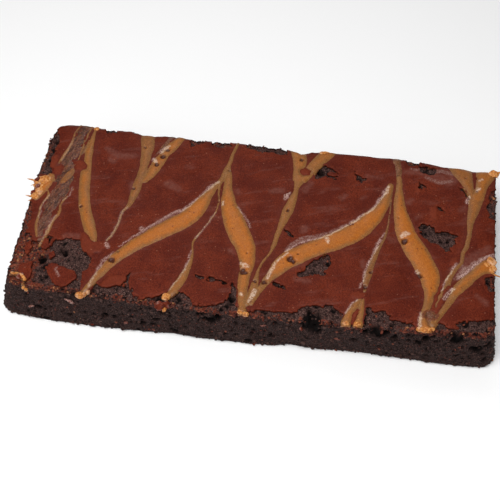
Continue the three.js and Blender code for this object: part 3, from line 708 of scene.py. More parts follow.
# Where the crust has broken away
TEARS = (
    Tear((
        (-64.9, -16.3), (-61.9, -14.9), (-58.5, -15.4), (-57, -14.7), (-55.7, -18.5), (-53.2, -20.1),
        (-51.5, -21.3), (-51.4, -23.3), (-51.6, -26.2), (-53.2, -26.9), (-52.8, -31.1), (-52.3, -34),
        (-52.2, -39), (-70, -39), (-69.6, -24.9), (-67.4, -20.4), (-65.8, -19.8),
    )),
    Tear((
        (-86, -14.5), (-75, -13.8), (-72.8, -16), (-71, -18), (-69.6, -16.2), (-67.2, -14.6), (-65.6, -15.4),
        (-66.4, -19.5), (-66.2, -24.5), (-68.3, -26.5), (-68.6, -31), (-66, -33), (-66, -39), (-86, -39),
    ), Ground.RUBBLE),
    Tear((
        (-86, 31), (-76, 30.8), (-74.6, 28), (-74.2, 22.5), (-75.2, 20), (-74.8, 14), (-73.2, 12.8),
        (-73.4, 11), (-76, 10.4), (-86, 10),
    )),
    Tear(((-86, -2), (-76.6, -1.8), (-75.8, -6), (-75.2, -10), (-75.4, -14.5), (-86, -15)), Ground.RUBBLE),
    Tear((
        (-49.8, -34), (-48.2, -30.2), (-46.5, -31.6), (-44, -31), (-41, -30.5), (-39.2, -30.6), (-38.4, -28),
        (-38.9, -25.8), (-38, -25.6), (-37.6, -28.4), (-36.9, -31.4), (-35.6, -33), (-33.5, -33.8),
        (-31, -33.6), (-29, -32.6), (-26.5, -32.2), (-24.5, -30.6), (-20.5, -30.2), (-19.2, -31.2),
        (-18, -31.6), (-16.8, -33.6), (-15, -34.2), (-12, -33.8), (-9, -33.2), (-7.4, -31.6), (-6, -29.4),
        (-5.4, -27), (-6.4, -24.9), (-4.6, -25.2), (-4.1, -29), (-3, -32.5), (-2, -34.4), (2, -33.6),
        (6.4, -33.1), (10, -32.8), (14.7, -32.5), (16.3, -30.7), (18.8, -29.5), (23.2, -29.3), (25.8, -28.7),
        (28.1, -30), (29.6, -31.4), (30, -34), (35.8, -34), (36.3, -28), (37.8, -27.7), (38.7, -29.6),
        (40.3, -28.9), (42.5, -28.8), (43.9, -29.8), (43.7, -31.2), (46.1, -30.8), (47.4, -31.6),
        (50.9, -31.6), (52, -33.2), (57.2, -33), (58, -31), (58.9, -29.6), (60.4, -30.2), (62.1, -30.4),
        (64.7, -29.1), (67.3, -28.2), (70.7, -27.3), (75.3, -26.3), (86, -26.1), (86, -41), (-49.8, -41),
    )),
    Tear((
        (23.2, -10.1), (21.6, -10.3), (19.6, -12.1), (17.8, -14), (16, -16.2), (13.8, -18.8), (14.2, -20.4),
        (16.4, -19.4), (18.5, -18), (19.8, -17.4), (20.8, -18.1), (22.4, -18.7), (22.7, -16.4),
        (23.1, -14.5), (23.9, -12.2),
    ), grow=0.15),
    Tear((
        (51.6, 5.8), (53.5, 7.6), (56.2, 6.3), (57, 4.1), (59.2, 4.5), (62, 4.3), (64.1, 3.6), (63.2, 1.6),
        (62.8, -1), (61.5, -1.6), (62.4, -3.1), (60.3, -3.3), (59.2, -1.6), (57.4, -0.7), (55.2, -0.4),
        (53, 1.5), (51.6, 3.6),
    )),
    Tear((
        (16, 25.1), (18.8, 27.4), (21.1, 26.4), (23, 25.4), (23.3, 24), (19.8, 24.4), (18, 21.7),
        (15.8, 20.9),
    ), grow=0.1),
    Tear(((19.6, 23.7), (20.8, 22.8), (23.5, 22.7), (21.5, 21.5), (20, 21.7)), grow=0.1),
    Tear(((28.7, 27.3), (30.5, 24.2), (34.1, 22.7), (31.3, 21.5), (29.5, 22.8), (29.6, 24.5)), grow=0.15),
    Tear(((50.8, 24.3), (53.9, 21.9), (51.8, 21.8), (51.2, 20.2), (50.6, 22)), grow=0.1),
    Tear(((63.2, 23.6), (65.9, 23.3), (67.4, 20), (66, 20.4), (65, 22.1)), grow=0.15),
    Tear(((56.2, 14.9), (57.6, 14.6), (59.6, 13.2), (57.4, 13.6))),
    Tear((
        (-17.8, -22.8), (-17, -24.2), (-13.6, -24.6), (-11, -24.6), (-7, -25.4), (-10.6, -23.9),
        (-12.4, -23.4), (-14, -24), (-16.4, -23.8),
    ), grow=0.15),
    Tear((
        (6.3, -23.9), (7.5, -22.3), (9.2, -23.2), (11.2, -23.5), (11.5, -25.4), (9.6, -24.8), (7.5, -24.3),
    ), grow=0.1),
    Tear((
        (72.3, -11.4), (75.4, -10.5), (86, -10.6), (86, -16.6), (75.3, -16.6), (73.8, -16.7), (72.5, -14),
    )),
    Tear(((76.1, 25.4), (86, 26), (86, 12), (75.8, 12.4), (74.2, 12.9), (73.4, 16.3), (74.4, 21.9))),
    Tear(((7.6, -0.6), (9.2, -2), (10.8, -3.2), (12, -5), (10, -4), (8.4, -2.4))),
    Tear((
        (-9.4, 31.2), (-6, 30.5), (-3, 30), (0, 30.8), (2.4, 29.8), (4.2, 30), (5, 31.4), (5, 38),
        (-9.4, 38),
    )),
    Tear(((-29, 32.2), (-28.2, 29.8), (-25.2, 30.8), (-24.4, 31.6), (-24.4, 38), (-29, 38))),
    Tear(((-21.6, 31.6), (-19.2, 30.2), (-16.6, 30.6), (-15, 31.4), (-15, 38), (-21.6, 38))),
    Tear(((-59.6, 33), (-59, 31.8), (-56.8, 31.4), (-55, 32.4), (-55, 38), (-59.8, 38))),
    Tear(((45.9, 33), (46.9, 31.3), (51, 31.5), (51.2, 38), (45.8, 38))),
    Tear(((50.6, 31.4), (53.2, 32.2), (56.6, 31.3), (56.5, 28.6), (53.4, 27.5), (51.1, 28.7))),
    Tear(((-66.9, -4.8), (-66.2, -5.2), (-66.4, -6), (-67, -5.8))),
    Tear(((-38.6, -28), (-37.6, -27), (-37.9, -25.8), (-38.9, -26.2))),
)

# Bits of crust left standing in a tear
ISLANDS = (
    (
        (-73.6, -27.4), (-71.4, -25.4), (-69.7, -25), (-69.5, -28), (-69.6, -31), (-70.4, -32.6),
        (-72.4, -31), (-73.2, -29.8),
    ),
    (
        (-65.4, -27), (-64.4, -24.6), (-62.3, -25), (-60.9, -25.7), (-58, -26.3), (-55.3, -27.5),
        (-55.1, -29.3), (-55.7, -31.2), (-56.7, -32.8), (-59.1, -32.9), (-61.1, -32.4), (-63.3, -30.4),
    ),
    ((-65.9, -21.9), (-64.7, -20.3), (-63.8, -22.1), (-64.6, -23.7)),
    ((-69, -16.4), (-67, -15.8), (-66.4, -18.4), (-66.9, -20.2), (-68.6, -19.8)),
    ((-73.8, -18), (-72.4, -17.6), (-71.4, -20), (-72.4, -22.6), (-73.8, -21.4)),
    ((60.4, -30.6), (63.6, -29.9), (65, -31), (62, -31.6)),
)

# Burst bubbles in the caramel: x, y and radius, as for the dents, holes and eyes
CRATERS = (
    (8.2, 5.8, 0.55), (11.2, -13.2, 1.3), (12.4, -14, 0.9), (47, -1.3, 1.2), (52.3, -14.1, 1),
    (-45.1, -21.4, 1.25), (-59.6, -1.9, 0.7), (-3, -20, 1.2), (-2, -20.3, 0.9), (-37.1, 23.6, 1.1),
    (-38.6, 19.8, 0.9), (-36, 26.6, 0.8), (44.8, 8.2, 0.4), (-13.5, 20.3, 0.5), (36.9, -15, 0.5),
    (35.7, -20.8, 1), (4.2, -23.2, 0.9), (66.4, 27.8, 0.5), (10.4, 28.4, 0.8), (29, 3.2, 0.5),
    (-44, 8.2, 0.7), (-43.9, 26.6, 0.45), (-75.6, 6, 0.8), (-76.6, 1.2, 0.7), (67.2, 19.2, 0.5),
    (69.8, 28.4, 0.5), (-2.8, -12.9, 0.3), (-43.6, -18, 0.3), (-15.1, 6.4, 0.5), (1.4, -23.2, 0.6),
    (70, 22.6, 0.5), (13.7, -11.3, 0.4), (30, 3.4, 0.4),
)

# Shallow dips in the crust
DENTS = (
    (-38.2, -8.4, 1.6), (-8, -12.6, 1.6), (14.4, -1, 2), (3.8, 14, 2.6), (26, 14.4, 1.8), (14.2, 18.8, 1.4),
    (34.4, -12, 1.6), (-55, 19.4, 2), (-50, -1.4, 2), (-47.8, -3, 1.3), (43, -0.8, 1.4), (65.4, 14.8, 1.4),
    (-9.4, 11.6, 1.4), (-18.6, 17, 1.6), (48.6, -16, 1.2), (-33, -22, 2.4), (24, -24, 2.6), (62, -22, 2.4),
    (-26, 20, 3), (28, 28, 3), (60, 14, 2.4),
)

# Holes in the open crumb, on the cut side as well as on top, sunk in and painted black as shade
HOLES = (
    (-61, -19.6, 1), (-60.4, -20.4, 0.8), (-62, -19, 0.6), (-54.7, -34.7, 1.3), (59, 1.2, 0.5),
    (17.4, 24.6, 1.2), (61, 1.6, 0.6), (64.4, -33.2, 1.6), (-75.4, 26, 1), (-75, 17, 0.9), (74, -12.6, 0.8),
    (-5, -30, 1), (37, -29.2, 0.8), (52.8, 4, 0.6), (19.4, -13.6, 0.4), (-8, -24.6, 0.8), (9.4, -24, 0.9),
    (51.2, 22.4, 0.9), (65.4, 22.6, 0.9), (-8.8, -38.5, 1.3), (-18.5, -36.8, 1.1), (40.3, -34.8, 1.8),
    (43.4, -36.4, 1.2), (36.8, -36.8, 1.2), (55.6, -37.3, 1.2), (65.6, -34.8, 1.3), (53, 29.6, 1.1),
    (30.2, 23.4, 1),
)

# The largest of those holes, with ragged outlines
PITS = (
    (
        (19, -29.9), (20.2, -30), (20.3, -31.2), (22.7, -30.7), (23.3, -32.3), (22.5, -34), (23.6, -37),
        (21.8, -37.8), (20, -36.4), (18.7, -35.1), (17.2, -34.1), (19, -32.9), (18.8, -31.3),
    ),
    ((-69, -22.9), (-68.2, -21.9), (-66.6, -22), (-65.7, -23), (-66, -24.6), (-67.4, -25.3), (-68.8, -24.7)),
    ((-55.9, -33.9), (-54.4, -33.5), (-53.4, -34.4), (-54, -35.8), (-55.6, -35.6)),
)

# Rings in the caramel round a stained middle
EYES = ((56.1, -28.1, 1.9),)


@dataclass(frozen=True)
class Swirl:
    """Everything that is drawn on top of the slab, as listed above."""

    ribbons: tuple[Stroke, ...] = RIBBONS
    flakes: tuple[tuple[Point, ...], ...] = FLAKES
    # pale lines and dabs: partly a real pale lip, partly painted highlight
    bloom: tuple[Stroke, ...] = BLOOM_AND_HIGHLIGHT
    # pale patches of painted sheen on the crust
    haze: tuple[Stroke, ...] = PAINTED_SHEEN
    # a pale streaked film, partly painted sheen
    veils: tuple[Stroke, ...] = VEILS_AND_SHEEN
    tears: tuple[Tear, ...] = TEARS
    islands: tuple[tuple[Point, ...], ...] = ISLANDS
    craters: tuple[Station, ...] = CRATERS
    dents: tuple[Station, ...] = DENTS
    holes: tuple[Station, ...] = HOLES
    pits: tuple[tuple[Point, ...], ...] = PITS
    eyes: tuple[Station, ...] = EYES
    reach: float = 3.5  # how far from a ribbon its depth is still worked out

    def caramel(self, x: Array, y: Array) -> dict[str, Array]:
        """The caramel at each point.

        Args:
            x, y: points of the plan.

        Returns:
            Depth inside the caramel's edge (less than 0 outside), width, side, murk and glow.
        """
        depth, width, side = np.full(len(x), -4.0), np.ones(len(x)), np.zeros(len(x))
        murk, glow = np.zeros(len(x)), np.zeros(len(x))
        p = on_plan(x, y)
        wobble = 0.15 * noise(p, 3.1, 51) + 0.06 * noise(p, 0.9, 52) + 0.05 * noise(p, 0.5, 53)
        for ribbon in self.ribbons:
            index, deep, wide, hand = ribbon.near(x, y, self.reach)
            deep = deep + wobble[index] * np.clip(wide / 3, 0.3, 1)
            better = deep > depth[index]
            at = index[better]
            depth[at], width[at], side[at] = deep[better], wide[better], hand[better]
            shown = better | (deep > -0.05)  # where two ribbons meet, the later one shows
            at = index[shown]
            murk[at] = ribbon.murk
            lit = ease(wide, 1.6, 5.6) if ribbon.glow is None else ribbon.glow
            glow[at] = (lit * np.ones(len(wide)))[shown]
        depth = np.minimum(depth, -self.flaked(x, y))
        return {"depth": depth, "width": width, "side": side, "murk": murk, "glow": glow}

    def flaked(self, x: Array, y: Array) -> Array:
        """How deep each point lies inside a lifted flake of crust, less than 0 outside."""
        wx, wy = strayed(x, y, ((0.3, 1.3), (0.2, 0.6)), 65)
        return deepest(self.flakes, wx, wy)

    @staticmethod
    def wash(strokes: tuple[Stroke, ...], x: Array, y: Array, soft: float) -> Array:
        """How strongly soft-edged strokes cover each point, from 0 to 1.

        Args:
            strokes: what is drawn.
            x, y: points of the plan.
            soft: width of their soft edge.

        Returns:
            One share for each point.
        """
        share = np.zeros(len(x))
        wx, wy = strayed(x, y, ((0.3, 1.1),), 57)
        for stroke in strokes:
            index, deep, wide, _ = stroke.near(wx, wy, soft)
            deep = deep - 0.12 * wide
            cover = ease(deep, -soft, soft * 0.5) * (1 - stroke.murk)
            share[index] = np.maximum(share[index], cover)
        return share

    def torn(self, x: Array, y: Array) -> tuple[Array, Array]:
        """Where the crust is missing.

        Args:
            x, y: points of the plan.

        Returns:
            How deep each point lies inside a tear (less than 0 where there is crust), and how
            much of the litter of browned bits lies there, from 0 to 1.
        """
        wx, wy = strayed(x, y, ((0.45, 2.1), (0.32, 0.9)), 61)
        depth, litter = np.full(len(x), -30.0), np.zeros(len(x))
        chipped = 0.7 * (cells(on_plan(x, y), 1.3, 69)[1] - 0.5)
        for tear in self.tears:
            deep = depth_in_patch(tear.outline, wx, wy) + chipped + tear.grow
            depth = np.maximum(depth, deep)
            if tear.ground is Ground.RUBBLE:
                litter = np.maximum(litter, ease(deep, -1, 1))
        return np.minimum(depth, -deepest(self.islands, wx, wy)), litter

    @staticmethod
    def hollow(spots: tuple[Station, ...], x: Array, y: Array) -> Array:
        """How deep in roundish hollows each point lies: 1 in the middle, 0 outside."""
        share = np.zeros(len(x))
        wx, wy = strayed(x, y, ((0.28, 0.9),), 55)
        for cx, cy, radius in spots:
            away = np.hypot(wx - cx, wy - cy) / radius
            share = np.maximum(share, 1 - ease(away, 0.35, 1.25))
        return share

    def holed(self, x: Array, y: Array) -> Array:
        """How deep in the open crumb's holes each point lies, from 0 to 1; the crumb's finish paints them
        black as shade.
        """
        wx, wy = strayed(x, y, ((0.35, 1.4),), 59)
        deep = ease(deepest(self.pits, wx, wy), -0.15, 0.6)
        return np.maximum(self.hollow(self.holes, x, y), deep)

    def on_island(self, x: Array, y: Array) -> Array:
        """How surely each point lies on a piece of crust that was left in a tear."""
        return ease(deepest(self.islands, x, y), -0.8, -0.2)


# Shaping meshes

class Shaping:
    """A mesh being shaped: a primitive, edit-mode operators, and points moved in code."""

    def __init__(self, name: str) -> None:
        """Takes up the primitive that was added last."""
        self.piece = bpy.context.active_object
        self.piece.name = self.piece.data.name = name
        self.mesh = self.piece.data

    @classmethod
    def grid(cls, name: str, cells_x: int, cells_y: int) -> "Shaping":
        """Starts from a flat grid from -1 to 1.

        Args:
            name: the piece's name.
            cells_x, cells_y: how many faces it has each way.

        Returns:
            The mesh to shape.
        """
        bpy.ops.object.select_all(action="DESELECT")
        bpy.ops.mesh.primitive_grid_add(x_subdivisions=cells_x, y_subdivisions=cells_y, size=2)
        return cls(name)

    @classmethod
    def ball(cls, name: str, fineness: int) -> "Shaping":
        """Starts from a faceted ball of radius 1.

        Args:
            name: the piece's name.
            fineness: 1 for 20 faces, and four times as many for each step more.

        Returns:
            The mesh to shape.
        """
        bpy.ops.object.select_all(action="DESELECT")
        bpy.ops.mesh.primitive_ico_sphere_add(subdivisions=fineness, radius=1)
        return cls(name)

    def repeat(self, places: Array) -> None:
        """Replaces the mesh by copies of itself.

        Args:
            places: the points of every copy: one row a copy, one column a point.
        """
        faces = np.array([face.vertices[:] for face in self.mesh.polygons])
        count = places.shape[1]
        offsets = (np.arange(len(places)) * count)[:, None, None]
        copies = (faces[None] + offsets).reshape(-1, faces.shape[1])
        self.mesh.clear_geometry()
        self.mesh.from_pydata(places.reshape(-1, 3).tolist(), [], copies.tolist())
        self.mesh.update()

    @staticmethod
    def _read(rows: bpy.types.bpy_prop_collection, name: str) -> Array:
        """One vector of each row of the mesh's data."""
        values = np.empty(len(rows) * 3)
        rows.foreach_get(name, values)
        return values.reshape(-1, 3)

    @property
    def points(self) -> Array:
        """All points, one a row."""
        return self._read(self.mesh.vertices, "co")

    @points.setter
    def points(self, places: Array) -> None:
        """Moves all points."""
        self.mesh.vertices.foreach_set("co", np.ascontiguousarray(places, np.float32).ravel())
        self.mesh.update()

    @property
    def normals(self) -> Array:
        """The direction in which the surface faces at each point."""
        return self._read(self.mesh.vertex_normals, "vector")

    def face_middles(self) -> Array:
        """Middle of each face, one a row."""
        return self._read(self.mesh.polygons, "center")

    def pick_faces(self, mask: Array) -> None:
        """Selects faces alone, for the next operator."""
        self.mesh.vertices.foreach_set("select", np.zeros(len(self.mesh.vertices), bool))
        self.mesh.edges.foreach_set("select", np.zeros(len(self.mesh.edges), bool))
        self.mesh.polygons.foreach_set("select", np.ascontiguousarray(mask, bool))
        bpy.context.tool_settings.mesh_select_mode = (False, False, True)

    def edit(self, *steps: tuple) -> None:
        """Runs edit-mode operators.

        Args:
            steps: pairs of an operator and its settings.
        """
        bpy.ops.object.select_all(action="DESELECT")
        self.piece.select_set(True)
        bpy.context.view_layer.objects.active = self.piece
        bpy.ops.object.mode_set(mode="EDIT")
        for operator, settings in steps:
            operator(**settings)
        bpy.ops.object.mode_set(mode="OBJECT")

    def sound_faces(self, keep: Array, across: int, deep: int) -> Array:
        """Drops faces of a fresh grid that would touch the rest by a corner alone.

        Args:
            keep: which of its faces are wanted.
            across, deep: how many faces it has each way.

        Returns:
            Which of its faces stay.
        """
        middle = self.face_middles()
        column = np.rint((middle[:, 0] + 1) / 2 * across - 0.5).astype(int)
        row = np.rint((middle[:, 1] + 1) / 2 * deep - 0.5).astype(int)
        table = np.zeros((deep, across), bool)
        table[row, column] = keep
        return keep_sound(table)[row, column]

    def cut_away(self, mask: Array) -> None:
        """Deletes the faces of a mask."""
        self.pick_faces(mask)
        self.edit((bpy.ops.mesh.delete, {"type": "FACE"}))

    def refine(self, mask: Array, cuts: int) -> None:
        """Cuts the faces of a mask finer."""
        self.pick_faces(mask)
        self.edit((bpy.ops.mesh.subdivide, {"number_cuts": cuts}))

    def thicken(self, drop: float) -> None:
        """Carries the open edge down and closes the underside, so that the sheet is a solid.

        Args:
            drop: how far down the underside lies.
        """
        bpy.context.tool_settings.mesh_select_mode = (False, True, False)
        self.edit(
            (bpy.ops.mesh.select_all, {"action": "DESELECT"}),
            (bpy.ops.mesh.select_non_manifold, {"extend": False, "use_wire": False,
                                                "use_multi_face": False, "use_verts": False}),
            (bpy.ops.mesh.extrude_edges_move,
             {"TRANSFORM_OT_translate": {"value": (0, 0, -drop)}}),
            (bpy.ops.mesh.fill, {"use_beauty": False}),
            (bpy.ops.mesh.select_all, {"action": "SELECT"}),
            (bpy.ops.mesh.normals_make_consistent, {"inside": False}),
        )

    def note(self, **notes: Array) -> None:
        """Writes down values for each point, which the finish reads by their names."""
        for name, values in notes.items():
            layer = self.mesh.attributes.new(name, "FLOAT", "POINT")
            layer.data.foreach_set("value", np.ascontiguousarray(values, np.float32))

    def finish(self, material: Material, slot: str, smooth: bool = True) -> None:
        """Brings the piece to the part's frame and dresses it.

        Args:
            material: its finish.
            slot: the record's material slot; it is not used.
            smooth: whether its shading is smooth.
        """
        self.points = (self.points - np.array([*PLAN_MIDDLE, 0])) * MM
        self.mesh.polygons.foreach_set("use_smooth", np.full(len(self.mesh.polygons), smooth))
        self.mesh.materials.clear()
        self.mesh.materials.append(material)
        self.mesh.update()
        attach(self.piece, "root")
        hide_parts("brownie")
        triangles = sum(len(face.vertices) - 2 for face in self.mesh.polygons)
        log.info("%s: %d triangles", self.piece.name, triangles)


def keep_sound(keep: Array) -> Array:
    """Drops cells of a grid that touch the rest by a corner alone.

    Args:
        keep: which cells stay, one row of cells a row.

    Returns:
        The cells that stay.
    """
    keep = keep.copy()
    for _ in range(6):  # a dropped cell can leave a new corner
        a, b, c, d = keep[:-1, :-1], keep[:-1, 1:], keep[1:, :-1], keep[1:, 1:]
        falling = a & d & ~b & ~c
        rising = b & c & ~a & ~d
        if not (falling | rising).any():
            break
        keep[:-1, :-1] &= ~falling
        keep[:-1, 1:] &= ~rising
    return keep


def drawn_to_edge(x: Array, y: Array, depth_at: Callable[[Array, Array], Array], mask: Array,
                  most: float) -> tuple[Array, Array]:
    """Moves the points of a mask on to an edge.

    Args:
        x, y: points of the plan.
        depth_at: gives the depth inside the edge at x, y.
        mask: which points move.
        most: how far one may move.

    Returns:
        The new x and y.
    """
    x, y = x.copy(), y.copy()
    step = 0.08  # how far apart the slope is measured
    for _ in range(2):
        px, py = x[mask], y[mask]
        here = depth_at(px, py)
        gx = (depth_at(px + step, py) - here) / step
        gy = (depth_at(px, py + step) - here) / step
        steep = np.maximum(gx**2 + gy**2, 0.25)
        x[mask] = px - np.clip(here * gx / steep, -most, most)
        y[mask] = py - np.clip(here * gy / steep, -most, most)
    return x, y


# Finishes

class Bench:
    """Lays out the nodes of one material."""

    def __init__(self, name: str) -> None:
        """Starts an empty material with its shader."""
        self.material = bpy.data.materials.new(name)
        self.material.use_nodes = True
        self.tree = self.material.node_tree
        self.tree.nodes.clear()
        self.shader = self._node("BsdfPrincipled")
        output = self._node("OutputMaterial")
        self.tree.links.new(self.shader.outputs[0], output.inputs[0])
        self.place = self._node("TexCoord").outputs["Object"]

    def _node(self, kind: str) -> bpy.types.Node:
        """Adds one node."""
        return self.tree.nodes.new("ShaderNode" + kind)

    def _feed(self, socket: Socket, value: Value) -> None:
        """Links a socket to a node's output, or sets it."""
        if isinstance(value, bpy.types.NodeSocket):
            self.tree.links.new(value, socket)
        elif isinstance(value, tuple) and len(value) == 3 and len(socket.default_value) == 4:
            socket.default_value = (*value, 1.0)
        else:
            socket.default_value = value

    def read(self, name: str) -> Socket:
        """A value that the mesh keeps for each of its points."""
        node = self._node("Attribute")
        node.attribute_name = name
        return node.outputs["Fac"]

    def stretched(self, x: float, y: float, z: float) -> Socket:
        """Object coordinates, scaled along each axis."""
        node = self._node("Mapping")
        node.inputs["Scale"].default_value = (x, y, z)
        self._feed(node.inputs["Vector"], self.place)
        return node.outputs[0]

    def tilted(self, turn: float, along: float) -> Socket:
        """Object coordinates turned about z, with lumps drawn out along the turned x."""
        node = self._node("Mapping")
        node.vector_type = "TEXTURE"
        node.inputs["Rotation"].default_value = (0, 0, turn)
        node.inputs["Scale"].default_value = (1 / along, 1, 1)
        self._feed(node.inputs["Vector"], self.place)
        return node.outputs[0]

    def noise(self, size: float, detail: float = 2.0, rough: float = 0.5,
              place: Socket | None = None) -> Socket:
        """Noise from 0 to 1 with lumps of a size in millimetres."""
        node = self._node("TexNoise")
        node.inputs["Scale"].default_value = 1000 / size
        node.inputs["Detail"].default_value = detail
        node.inputs["Roughness"].default_value = rough
        self._feed(node.inputs["Vector"], place or self.place)
        return node.outputs["Fac"]

    def flecks(self, size: float) -> Socket:
        """Distance to the nearest of scattered points, 0 at a point, a size in millimetres apart."""
        node = self._node("TexVoronoi")
        node.inputs["Scale"].default_value = 1000 / size
        self._feed(node.inputs["Vector"], self.place)
        return node.outputs["Distance"]

    def _sum(self, kind: str, a: Value, b: Value, clamp: bool = False) -> Socket:
        """One sum of two values."""
        node = self._node("Math")
        node.operation = kind
        node.use_clamp = clamp
        self._feed(node.inputs[0], a)
        self._feed(node.inputs[1], b)
        return node.outputs[0]

    def times(self, a: Value, b: Value) -> Socket:
        """The product of two values."""
        return self._sum("MULTIPLY", a, b)

    def plus(self, a: Value, b: Value, clamp: bool = False) -> Socket:
        """Two values added up, kept between 0 and 1 if it is clamped."""
        return self._sum("ADD", a, b, clamp)

    def rest(self, a: Value) -> Socket:
        """What a value leaves of 1."""
        return self._sum("SUBTRACT", 1.0, a)

    def most(self, a: Value, b: Value) -> Socket:
        """The larger of two values."""
        return self._sum("MAXIMUM", a, b)

    def ramp(self, value: Value, low: float, high: float, start: float = 0.0,
             end: float = 1.0) -> Socket:
        """Smooth step of a value from start at low to end at high."""
        node = self._node("MapRange")
        node.interpolation_type = "SMOOTHSTEP"
        self._feed(node.inputs["Value"], value)
        for name, setting in (("From Min", low), ("From Max", high), ("To Min", start), ("To Max", end)):
            node.inputs[name].default_value = setting
        return node.outputs[0]

    def mix(self, share: Value, a: Value, b: Value) -> Socket:
        """Colour a turning into colour b as the share goes from 0 to 1."""
        node = self._node("Mix")
        node.data_type = "RGBA"
        self._feed(node.inputs[0], share)
        self._feed(node.inputs[6], a)
        self._feed(node.inputs[7], b)
        return node.outputs[2]

    def bump(self, height: Value, strength: float, depth: float) -> Socket:
        """Fine relief from a height, in millimetres of depth."""
        node = self._node("Bump")
        node.inputs["Strength"].default_value = strength
        node.inputs["Distance"].default_value = depth * MM
        self._feed(node.inputs["Height"], height)
        return node.outputs[0]

    def set(self, **settings: Value) -> None:
        """Sets or feeds the shader's sockets, with _ for a space."""
        for name, value in settings.items():
            self._feed(self.shader.inputs[name.replace("_", " ")], value)


def srgb(red: int, green: int, blue: int) -> Colour:
    """A colour as light, from its screen values of 0 to 255."""
    def light(value: int) -> float:
        """One channel as light."""
        share = value / 255
        return share / 12.92 if share <= 0.04045 else ((share + 0.055) / 1.055) ** 2.4

    return light(red), light(green), light(blue)


@dataclass(frozen=True)
class CrustFinish:
    """Browned crust: satin and faintly wrinkled, with painted sheen in pale hazy patches and streaks; the
    pale film and lines beside the ribbons are partly real and partly painted sheen and highlight.
    """

    shade: Colour = srgb(52, 16, 9)
    deep: Colour = srgb(82, 26, 14)
    warm: Colour = srgb(104, 39, 21)
    broken: Colour = srgb(116, 50, 31)
    beside: Colour = srgb(90, 40, 31)
    # colour of the painted sheen
    haze: Colour = srgb(112, 68, 59)
    # colour of the pale film, partly painted sheen
    veil: Colour = srgb(126, 92, 84)
    # colour of the pale lip, partly painted highlight
    bloom: Colour = srgb(190, 158, 148)
    fleck: Colour = srgb(146, 92, 70)

    def make(self) -> Material:
        """Builds the material."""
        b = Bench("browned_crust")
        base = b.mix(b.ramp(b.noise(9, 3), 0.35, 0.65), self.deep, self.warm)
        base = b.mix(b.ramp(b.noise(0.7, 3, 0.65), 0.35, 0.75, 0, 0.75), base, self.deep)
        base = b.mix(b.ramp(b.noise(0.55, 2, 0.6), 0.58, 0.68, 0, 0.6), base, self.broken)
        fine = b.noise(0.34, 2, 0.8)
        base = b.mix(b.ramp(fine, 0.5, 0.34, 0, 0.75), base, self.shade)
        base = b.mix(b.ramp(fine, 0.55, 0.7, 0, 0.6), base, self.broken)
        near = b.times(b.read("beside"), b.ramp(b.noise(3, 3), 0.3, 0.65, 0.2, 0.7))
        base = b.mix(near, base, self.beside)
        # Painted sheen: pale streaks drawn out along the crust's wrinkles, and pale patches over its dents,
        # where they would catch the light.
        sheen_streaks = b.ramp(b.noise(2.2, 4, 0.6, b.tilted(0.3, 0.22)), 0.54, 0.72, 0, 0.4)
        sheen_streaks = b.times(sheen_streaks, b.rest(b.read("alone")))
        haze = b.most(b.times(b.read("haze"), 0.6), sheen_streaks)
        haze = b.times(haze, b.ramp(b.noise(1.1, 3), 0.25, 0.7, 0.4, 1.0))
        base = b.mix(haze, base, self.haze)
        edge = b.times(b.ramp(b.read("torn"), -0.9, -0.1), b.ramp(b.noise(1.2, 3), 0.42, 0.62))
        edge = b.times(edge, 0.45)
        edge = b.most(edge, b.times(b.read("flake"), 0.55))
        edge = b.times(edge, b.ramp(b.noise(0.6, 2), 0.25, 0.6, 0.55, 1.0))
        base = b.mix(edge, base, self.broken)
        spot = b.times(b.ramp(b.flecks(1.9), 0.13, 0.05), b.ramp(b.noise(5, 1), 0.42, 0.55))
        base = b.mix(b.times(spot, 0.75), base, self.fleck)
        speckle = b.ramp(b.noise(0.42, 3, 0.7), 0.43, 0.56, 0.05, 1.0)
        # Pale streaked film beside the ribbons: partly real, partly painted sheen.
        veil = b.times(b.read("veil"), b.ramp(b.noise(0.48, 3, 0.7), 0.42, 0.56, 0.1, 0.9))
        base = b.mix(veil, base, self.veil)
        # Pale lines and dabs along the ribbons' upper edges and by the craters: partly a real pale lip,
        # partly painted highlight.
        bloom = b.times(b.read("bloom"), speckle)
        base = b.mix(b.times(bloom, 0.8), base, self.bloom)
        grain = b.plus(b.noise(0.5, 3, 0.6), b.times(b.noise(2.2, 3, 0.55), 1.4))
        b.set(
            Base_Color=base,
            Roughness=b.plus(b.ramp(b.noise(3.5, 2), 0.3, 0.7, 0.36, 0.5), b.times(edge, 0.2)),
            Specular_IOR_Level=0.08,
            Normal=b.bump(grain, 0.5, 0.16),
        )
        return b.material


